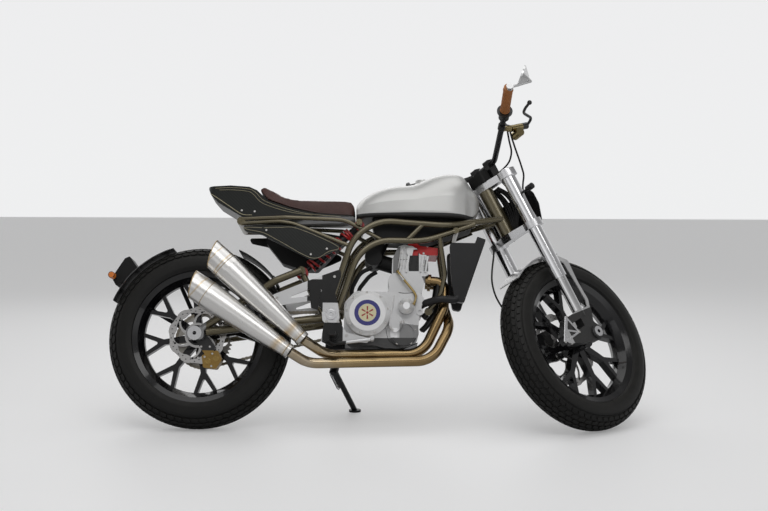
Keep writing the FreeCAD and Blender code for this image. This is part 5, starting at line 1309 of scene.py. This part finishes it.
for side in (-1, 1):
    path = []
    for x, z in smooth_line(welt_line):
        spot, normal, _, _ = fine_surface.ray_cast(bike(x, side * 400, z + 3), bike_left * -side)
        if spot is not None and (not path or (spot - path[-1]).length < 0.04):
            path.append(spot - normal * 0.0004)
    if len(path) > 3:
        welt.tube(path, 0.0022, 8)
welt.done("seat_piping", piping_hide, "chassis", smooth=True, slot="seat_leather")
print("stitch faces:", len(stitches.faces))

# %% [markdown]
# The shock is a damper inside a wound spring. The frame keeps it as one turned body; here the
# spring is a real coil between two collars, which shows the dark damper through its turns.

# %% Shock
shock_low, shock_high = bike(385, -46, 588), bike(600, -46, 776)
shock_line = (shock_high - shock_low).normalized()
spring_red = finish("spring_red_powder", (0.5, 0.012, 0.012), rough=0.28, metal=0.1, coat=0.6,
                    variation=0.12)
damper = Mesh()
damper.turned(shock_low, shock_line,
              [(9, 14), (9, 42), (15.5, 42), (16, 43), (16, 236), (13, 240), (13, 274)], 32)
damper.done("shock_damper", satin_black, "chassis", slot="black_metal")
collars = Mesh()
for h in (41, 224):
    collars.turned(shock_low, shock_line, [(16, h - 1), (26.5, h), (27, h + 1), (27, h + 6),
                                           (26, h + 7), (16, h + 8)], 48)
collars.turned(shock_low, shock_line, [(16, 233), (24, 234), (24, 240), (16, 241)], 24)
for place, wide in ((shock_low, 23.5), (shock_high, 19.5)):
    collars.turned(place - bike_left * 0.012, bike_left, [(wide, 0), (wide, 24)], 32)
collars.done("shock_collars", spring_red, "chassis", slot="red_paint")
coil = Mesh()
turns = 6.5
coil.tube(spiral(shock_low, shock_line, 0.0215, 0.0515, 0.170, turns, 150), 0.0046, 10)
coil_piece = coil.done("shock_spring", spring_red, "chassis", smooth=True, slot="red_paint")
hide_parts("shock")
print("spring turns:", turns)

# %% [markdown]
# A radiator is flat tubes with folded fins between them. Seen from ahead the fins make a fine
# zigzag, so that is what is built: one strip per gap, just proud of the core's front face.

# %% Radiator core
fin_black = finish("fin_black", (0.02, 0.02, 0.021), rough=0.45, metal=0.5, variation=0.3, size=900.0)
core_top, core_foot = Vector((1080.0, 716.0)), Vector((1004.0, 498.0))
core = Mesh()
core_up = (core_top - core_foot) / 228
core_out = Vector((core_up.y, -core_up.x)).normalized()
tube_rows, teeth = 26, 44


def on_core(spot, out, up, y):
    """a place in front of the core, from a spot on its face in the side view"""
    spot = spot + core_out * out + core_up * up
    return bike(spot.x, y, spot.y)


tube_section = ((-0.5, -0.9), (1.4, -0.9), (1.4, 0.9), (-0.5, 0.9))
for row in range(tube_rows):
    spot = core_top.lerp(core_foot, (row + 0.5) / tube_rows)
    core.rings([[on_core(spot, out, up, y) for out, up in tube_section] for y in (-85.5, 85.5)])
    if row < tube_rows - 1:
        base = len(core.points)
        for tooth in range(teeth + 1):
            down = 1.3 if tooth % 2 else 7.0
            core.points += [on_core(spot, out, -down, -85 + 170 * tooth / teeth) for out in (0.0, 1.0)]
        for a in range(base, base + teeth * 2, 2):
            core.faces.append((a, a + 2, a + 3, a + 1))
core.done("radiator_fins", fin_black, "chassis", slot="black_metal")
print("radiator faces:", len(core.faces))

# %% [markdown]
# Tan grips are soft rubber with raised diamonds. Two sets of fine spirals that cross give the
# diamonds; each is a thin tube wound on the grip, sunk by half so only its back shows. A hoop
# closes each end.

# %% Grips
grip_mesh = Mesh()
for side in (-1, 1):
    tip, root = fork(-119, side * 425, 1260), fork(-37, side * 275, 1209)
    line = (root - tip).normalized()
    for number in range(10):
        for way in (1, -1):
            path = spiral(tip, line, 0.0169, 0.008, 0.112, way * 0.55, 24, math.tau * number / 10)
            grip_mesh.tube(path, 0.0009, 4)
    for h in (6, 124):
        grip_mesh.hoop(tip + line * (h / 1000), line, 0.0172, 0.0018, 32, 6)
grip_mesh.done("grip_diamonds", grip_tan, "fork", smooth=True, slot="grip_rubber")
print("grip faces:", len(grip_mesh.faces))

# %% [markdown]
# The lamp in the front plate has a domed lens over a bright bowl. A bowl that mirrors the room
# and a thin clear dome look right from any side, where a white disc would look painted.

# %% Front lamp
clear_lens = bpy.data.materials.new("clear_lens")
clear_lens.use_nodes = True
glass = clear_lens.node_tree.nodes["Principled BSDF"]
for spot, value in (("Transmission Weight", 0.92), ("Roughness", 0.06), ("IOR", 1.3)):
    glass.inputs[spot].default_value = value
faint = use(clear_lens.node_tree, fine_grain, Colour=(0.93, 0.94, 0.95, 1), Variation=0.03, Size=200.0)
clear_lens.node_tree.links.new(faint["Colour"], glass.inputs["Base Color"])
bowl_chrome = finish("bowl_chrome", (0.8, 0.8, 0.8), rough=0.1, metal=1.0, variation=0.04, bump=0.0,
                     dust=0.0)
amber = finish("amber_lens", (0.75, 0.2, 0.02), rough=0.2, coat=0.6, variation=0.08, size=300.0)
lamp_spot, _ = touch("front_plate", fork(400, 0, 895), -fork_forward)
bowl = Mesh()
bowl.turned(lamp_spot, fork_forward,
            [(40, -0.2), (39.5, 0.6), (30, 0.3), (16, 0.2), (7, 0.2), (6, 3.0), (0.1, 4.0)], 48)
bowl.done("lamp_bowl", bowl_chrome, "fork", smooth=True, slot="bright_alloy")
dome = Mesh()
dome.turned(lamp_spot, fork_forward,
            [(41.5, 0.4), (41.0, 2.0), (36, 4.2), (24, 6.4), (10, 7.4), (0.1, 7.6)], 48)
dome.done("lamp_lens", clear_lens, "fork", smooth=True, slot="bright_alloy")
bezel = Mesh()
bezel.hoop(lamp_spot + fork_forward * 0.0012, fork_forward, 0.0432, 0.0018, 64)
bezel.done("lamp_bezel", satin_black, "fork", smooth=True, slot="black_metal")
print("lamp at", [round(v, 3) for v in lamp_spot])

# %% [markdown]
# Two small amber lamps stand out to the sides behind the rear wheel. Each is one turned shape
# with five low ridges.

# %% Amber lamps
tail_x, tail_z = -0.2264 * wheelbase, hub_height + 0.1535 * wheelbase
profile = [(11.8, 0), (12.3, 0.4)]
for h in range(2, 23, 5):
    profile += [(12.3, h), (12.7, h + 1), (12.7, h + 3), (12.3, h + 4)]
profile += [(12.2, 29.5), (9, 30.3)]
amber_mesh = Mesh()
for side in (-1, 1):
    amber_mesh.turned(bike(tail_x, side * 80, tail_z), bike_left * side, profile, 24)
amber_mesh.done("amber_lamps", amber, "chassis", slot="black_plastic")
print("amber faces:", len(amber_mesh.faces))

# %% [markdown]
# The brake discs are wavy: their edge runs in and out so that it cleans itself and sheds weight,
# and swirled arms carry it from the hub. The frame has the same discs with fewer turns of detail;
# these are strips of steel laid round the axle, with two rows of drilled holes shown as dark
# discs set into both faces, which is lighter than cutting every hole.

# %% Brake discs
hole_dark = finish("drill_hole_dark", (0.01, 0.01, 0.01), rough=0.8, variation=0.2)


def wavy_disc(name, node, centre, axle, sides, radius, band, waves, hub, arms, swirl):
    """radius to the outer crests; band is the rubbed ring's width, all in millimetres"""
    body = node.replace("brake_disc", "wheel")
    first, second = cross_pair(axle)
    thin, thick = sides
    inner_arm, outer_arm = hub + 6, radius - band + 2

    def place(turn, reach, side):
        return centre + spoke(first, second, turn) * (reach / 1000) + axle * (side / 1000)

    def plate(turn, inner, outer):
        """one cut through the ring, from its inner to its outer edge"""
        return [place(turn, r, s) for r, s in ((inner, thin), (outer, thin), (outer, thick), (inner, thick))]

    steel, holes = Mesh(), Mesh()
    rings = []
    for i in range(waves * 30):
        turn = math.tau * i / (waves * 30)
        wave = math.cos(waves * turn)
        wave = math.copysign(abs(wave) ** 0.6, wave)
        rings.append(plate(turn, radius - band + 3.4 * math.cos(waves * turn + math.pi),
                           radius - 6.0 * (1 - wave) / 2))
    steel.loop(rings)
    steel.loop([plate(math.tau * i / 72, hub, hub + 9) for i in range(72)])
    for arm in range(arms):
        start = math.tau * arm / arms
        rings = []
        for share in [i / 8 for i in range(9)]:
            reach = inner_arm + (outer_arm - inner_arm) * share
            turn = start + math.radians(swirl) * share ** 1.5
            half = 6.5 - 2.0 * math.sin(math.pi * share)
            rings.append([place(turn + s * half / reach, reach, side) for s, side in
                          ((-1, thin + 0.5), (1, thin + 0.5), (1, thick - 0.5), (-1, thick - 0.5))])
        steel.rings(rings)
        holes.turned(place(start + math.radians(swirl), radius - band + 3, thin), axle,
                     [(4.2, -0.25), (4.2, thick - thin + 0.25)], 12)
    for number in range(waves * 2):
        for row, shift in ((0.36, 0.0), (0.66, 0.5)):
            turn = math.tau * (number + shift) / (waves * 2)
            reach = radius - 4 - (band - 4) * row
            holes.turned(place(turn, reach, thin), axle, [(2.3, -0.12), (2.3, thick - thin + 0.12)], 10)
    piece = steel.done(name, ground_steel, body, slot="disc_steel")
    holes.done(name + "_holes", hole_dark, body, slot="disc_steel")
    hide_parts(node)


wavy_disc("rear_wavy_disc", "rear_brake_disc", rear_centre, bike_left, (-72.8, -68.2),
          radius=109.5, band=25, waves=9, hub=38, arms=6, swirl=26)
wavy_disc("front_wavy_disc", "front_brake_disc", front_centre, fork_left, (62.2, 66.8),
          radius=149.5, band=28, waves=12, hub=46, arms=8, swirl=22)
print("discs ready")

# %% [markdown]
# Small relief makes a casting read as an engine: upright ribs on the cylinder beside the chain
# slot and dark gasket lines where castings meet. Both follow the casting's own surface, found
# from the side.

# %% Ribs and gaskets
ribs = Mesh()
for side in (-1, 1):
    for x in (752, 763, 775):
        stripe(ribs, "cylinder_head", [(x + 9, 690), (x + 4, 650), (x - 2, 606)], side, 2.2, sunk=1.2)
    for x in (836, 848):
        stripe(ribs, "cylinder_head", [(x + 3, 655), (x + 1, 630), (x - 2, 602)], side, 2.0, sunk=1.2)
    stripe(ribs, "crankcase", [(742, 560), (790, 552), (852, 556)], side, 2.4, sunk=1.4)
    stripe(ribs, "crankcase", [(735, 500), (730, 460), (722, 430)], side, 2.2, sunk=1.4)
rib_alloy = finish("bright_rib_edges", (0.78, 0.78, 0.77), rough=0.3, metal=0.8, variation=0.1)
ribs.done("casting_ribs", rib_alloy, "chassis", smooth=True, slot="grey_alloy")
gasket = finish("gasket_dark", (0.02, 0.02, 0.02), rough=0.7, variation=0.2)
seams = Mesh()
for side in (-1, 1):
    stripe(seams, "crankcase", [(728, 588), (780, 583), (868, 586)], side, 1.3)
    stripe(seams, "crankcase", [(716, 520), (770, 508), (836, 514)], side, 1.3)
    stripe(seams, "crankcase", [(700, 402), (716, 330), (760, 306)], side, 0.9)
    stripe(seams, "cylinder_head", [(748, 640), (784, 642)], side, 0.9)
seams.done("gasket_lines", gasket, "chassis", slot="grey_alloy")
print("rib faces:", len(ribs.faces), "seam faces:", len(seams.faces))

# %% [markdown]
# The oil line is a soft curve through five corners on the engine's right, swept as a tube with a
# ring at each end. Its corners are shares of the wheelbase and of the engine's half width.

# %% Oil line
oil_brass = finish("oil_line_brass", (0.36, 0.26, 0.1), rough=0.3, metal=0.9, variation=0.2, size=800.0)
oil_corners = [(0.5174, 0.1743, -0.76), (0.5292, 0.1562, -0.82), (0.5639, 0.1146, -0.9),
               (0.5687, 0.0965, -1.0), (0.5597, 0.0785, -1.1)]
engine_half = 114
oil_curve = bpy.data.curves.new("oil_line_run", "CURVE")
oil_curve.dimensions = "3D"
oil_curve.resolution_u = 12
run = oil_curve.splines.new("NURBS")
run.points.add(len(oil_corners) - 1)
for point, (x, z, y) in zip(run.points, oil_corners):
    point.co = (*bike(x * wheelbase, y * engine_half, hub_height + z * wheelbase), 1)
run.order_u = 3
run.use_endpoint_u = True
oil_mesh = used_up(in_scene("oil_line_run", oil_curve), "oil_line_points")
oil_path = [v.co.copy() for v in oil_mesh.vertices]
oil = Mesh()
oil.tube(oil_path, 0.0046, 12)
for spot, ahead in ((oil_path[1], oil_path[1] - oil_path[0]), (oil_path[-2], oil_path[-1] - oil_path[-2])):
    oil.hoop(spot, ahead.normalized(), 0.0052, 0.0018, 20, 6)
oil.done("oil_line", oil_brass, "chassis", smooth=True, slot="grey_alloy")
print("oil line points:", len(oil_path))

# %% [markdown]
# A bright truss lies on the outer face of each fork foot: one broad flat bar and three thin ones,
# with bevelled edges and a screw at each of its three corners.

# %% Fork foot truss
truss, truss_screws = Mesh(), Mesh()


def flat_bar(mesh, start, end, outward, width, height):
    along = (end - start).normalized()
    across = along.cross(outward).normalized()
    edge, shoulder = width * 0.78, height * 0.7
    section = ((-width, -0.001), (width, -0.001), (width, shoulder), (edge, height), (-edge, height),
               (-width, shoulder))
    rings = [[point + across * a + outward * h for a, h in section] for point in (start, end)]
    mesh.rings(rings)


for side in (-1, 1):
    out = fork_left * side
    corners = ((-62, 450), (-128, 368), (-34, 382), (-96, 408))
    top, back, low, middle = [fork(f, side * 122, a) for f, a in corners]
    flat_bar(truss, top, back, out, 0.0075, 0.0046)
    for start, end in ((back, low), (low, top), (middle, low)):
        flat_bar(truss, start, end, out, 0.0038, 0.0032)
    for spot in (top, back, low):
        truss_screws.socket_screw(spot + out * 0.003, out, 0.005, 0.0022)
truss.done("foot_truss", satin_alloy, "fork", slot="bright_alloy")
truss_screws.done("foot_truss_screws", screw_steel, "fork", slot="bright_alloy")
print("truss ready")

# %% [markdown]
# Clamps on a fork are drawn tight by pinch bolts, and hangers hang on screws. These are placed by
# their own ruler: the fork's for what turns, the bike's for what doesn't. Turned caps close the
# swingarm's pivot.

# %% Screws on clamps and hangers, and pivot caps
fork_screws = Mesh()


def cap_nut(place, profile, sides):
    spot, _ = touch("fork_clamps", place, -steer_line)
    if spot is not None:
        fork_screws.turned(spot, steer_line, profile, sides)


for side in (-1, 1):
    for f, a in ((62, 822), (62, 836), (62, 1042), (62, 1056)):
        spot, _ = touch("fork_clamps", fork(f + 60, side * 104, a), -fork_forward)
        if spot is not None:
            fork_screws.socket_screw(spot, fork_forward, 0.0042, 0.004)
    cap_nut(fork(36, side * 104, 1300), [(15, 0), (15, 2.4), (13.5, 3.2), (8, 3.2), (7.4, 1.6)], 32)
cap_nut(fork(0, 0, 1300), [(16, 0), (16, 5), (14.5, 6.2), (6, 6.2), (5.4, 3)], 6)
fork_screws.done("clamp_screws", screw_steel, "fork", slot="bright_alloy")
hanger_places = [(524, 498), (512, 560), (300, 478), (528, 392), (486, 392), (560, 340)]
side_screws("hanger_screws", [("footrests", s, hanger_places) for s in (-1, 1)], screw_steel,
            radius=5.4, height=4.4)
pivot_caps = Mesh()
for side in (-1, 1):
    pivot_caps.turned(bike(501, side * 137.6, 417), bike_left * side,
                      [(20, 0), (20, 4), (18, 5.4), (9, 5.4), (7.4, 2)], 40)
pivot_caps.done("pivot_caps", satin_alloy, "chassis", slot="bright_alloy")
print("fork screws ready")

# %% [markdown]
# The filler cap gets a raised rim, a ring of screws and a short bar, the rear caliper two piston
# caps and its screws, and the rear mudguard a bright edge on both sides.

# %% Filler cap, caliper and mudguard trim
cap_mesh = Mesh()
cap_spot, cap_normal = touch("fuel_tank", bike(842, 0, 1200), -bike_up)
if cap_spot is not None:
    tilt_up = cap_normal if cap_normal.dot(bike_up) > 0.8 else bike_up
    cap_mesh.hoop(cap_spot + tilt_up * 0.0006, tilt_up, 0.019, 0.0014, 48, 8)
    for spot in circle(cap_spot, *cross_pair(tilt_up), 0.0235, 6):
        place, _ = touch("fuel_tank", spot + bike_up * 0.1, -bike_up)
        if place is not None:
            cap_mesh.socket_screw(place, tilt_up, 0.0026, 0.0016)
    reach = bike_forward * 0.011
    flat_bar(cap_mesh, cap_spot - reach, cap_spot + reach, tilt_up, 0.004, 0.003)
cap_mesh.done("filler_trim", screw_steel, "chassis", slot="bright_alloy")
caliper_bits = Mesh()
for x, z in ((46, 246), (76, 256)):
    spot, _ = from_side("rear_caliper", x, z, -1)
    if spot is not None:
        caliper_bits.turned(spot, -bike_left,
                            [(11.5, -0.5), (11.5, 2.6), (10, 3.4), (6, 3.4), (5.5, 2.0)], 32)
caliper_bits.done("caliper_caps", gold_anodised, "chassis", slot="gold_alloy")
side_screws("caliper_pins", [("rear_caliper", -1, [(60, 228), (34, 262), (62, 274), (20, 300), (52, 300)])],
            screw_steel, radius=4.2, height=3.0, slot="gold_alloy")
strip = Mesh()
for y in (-47, 47):
    path = []
    middle = rear_centre + bike_left * (y / 1000)
    for step in range(60):
        away = spoke(bike_forward, bike_up, math.radians(92 + 90 * step / 59))
        spot, _ = touch("rear_mudguard", middle + away * 0.6, -away)
        if spot is not None and 0.348 < (spot - middle).length < 0.362:
            path.append(spot + away * 0.0004)
    if len(path) > 4:
        strip.tube(path, 0.0016, 6)
strip.done("mudguard_edge", satin_alloy, "chassis", smooth=True, slot="bright_alloy")
print("trim faces:", len(strip.faces))

# %% [markdown]
# The stand is pulled home by a spring beside its leg, and the dial behind the bars has plain
# numbers. The spring is a swept coil that rides on the stand. The numbers are text turned into
# mesh, small and flat on the dial.

# %% Stand spring and dial
stand_line = (bike_forward * 0.29 + bike_left * 0.79 - bike_up * 0.54).normalized()
anchor = bike(506, 114, 238) + stand_line * 0.026 + bike_forward * -0.019
stand_spring = Mesh()
stand_spring.tube(spiral(anchor, stand_line, 0.0058, 0.0, 0.09, 20, 240), 0.0011, 5)
stand_spring.done("stand_spring", dark_screw, "side_stand", smooth=True, slot="black_metal")
dial_spot, _ = touch("instrument", fork(-2, 0, 1250), -steer_line)
mark_foot, scale_edge = dial_spot + steer_line * 0.0006, 0.0205
basis = Matrix((-fork_left, fork_forward, steer_line)).transposed().to_4x4()


def on_scale(share):
    """outwards on the dial, from its first mark (0) to its last (1)"""
    return spoke(-fork_left, fork_forward, math.radians(220 - 260 * share))


dial_dark = finish("dial_dark", (0.012, 0.012, 0.014), rough=0.3, coat=0.6, variation=0.1)
dial_white = finish("dial_white", (0.75, 0.75, 0.72), rough=0.5, variation=0.05)
dial = Mesh()
dial.turned(dial_spot, steer_line, [(22.5, 0), (22.5, 0.5), (22.0, 0.6)], 48)
dial.done("dial_face", dial_dark, "fork", slot="black_plastic")
marks = Mesh()
marks.hoop(mark_foot, steer_line, 0.0228, 0.0007, 48, 6)
for number in range(31):
    away = on_scale(number / 30)
    length = 0.004 if number % 5 == 0 else 0.0022
    flat_bar(marks, mark_foot + away * (scale_edge - length), mark_foot + away * scale_edge, steer_line,
             0.0003, 0.0004)
for index in range(7):
    words = bpy.data.curves.new("dial_number", "FONT")
    words.body = str(index * 2)
    words.size = 0.0058
    words.align_x = words.align_y = "CENTER"
    basis.translation = dial_spot + steer_line * 0.00075 + on_scale(index / 6) * 0.0132
    letters = used_up(in_scene("dial_number", words), "dial_number_mesh")
    base = len(marks.points)
    marks.points += [basis @ v.co for v in letters.vertices]
    marks.faces += [tuple(base + i for i in p.vertices) for p in letters.polygons]
marks.done("dial_marks", dial_white, "fork", slot="black_plastic")
print("dial at", [round(v, 3) for v in dial_spot])

# %% [markdown]
# Behind the front board runs the loom: soft cables from the bars down past the head tube. On the
# engine's front four soft hoses carry water and oil. Each is a line whose corners are cut round.

# %% Loom and engine hoses


def sagging(mesh, corners, radius, body_place):
    """a soft line through corners, rounded by averaging"""
    points = [Vector(body_place(*c)) for c in corners]
    for _ in range(4):
        rounder = [points[0]]
        for one, two in zip(points, points[1:]):
            rounder += [one.lerp(two, 0.25), one.lerp(two, 0.75)]
        points = rounder + [points[-1]]
    mesh.tube(points, radius, 10)


loom = Mesh()
for number, y in enumerate(range(-54, 55, 12)):
    corners = [(40, y * 0.55, 1030), (58 + 5 * (number % 3), y, 985), (66, y * 1.1, 930), (52, y * 0.7, 880),
               (40, y * 0.4, 850)]
    sagging(loom, corners, 0.0042 + 0.0008 * (number % 2), fork)
loom.done("loom", hose_black, "fork", smooth=True, slot="black_plastic")
hoses = Mesh()
for corners, radius in (([(905, -44, 560), (898, -58, 500), (872, -62, 452), (846, -50, 420)], 0.011),
                        ([(912, -20, 520), (896, -34, 452), (866, -44, 396), (842, -40, 372)], 0.009),
                        ([(900, 20, 560), (890, 8, 490), (868, -6, 446), (846, -12, 430)], 0.012),
                        ([(900, 50, 540), (892, 56, 470), (864, 52, 410), (840, 44, 386)], 0.009)):
    sagging(hoses, corners, radius, bike)
hoses.done("engine_hoses", hose_black, "chassis", smooth=True, slot="hose_rubber")
print("soft lines ready")
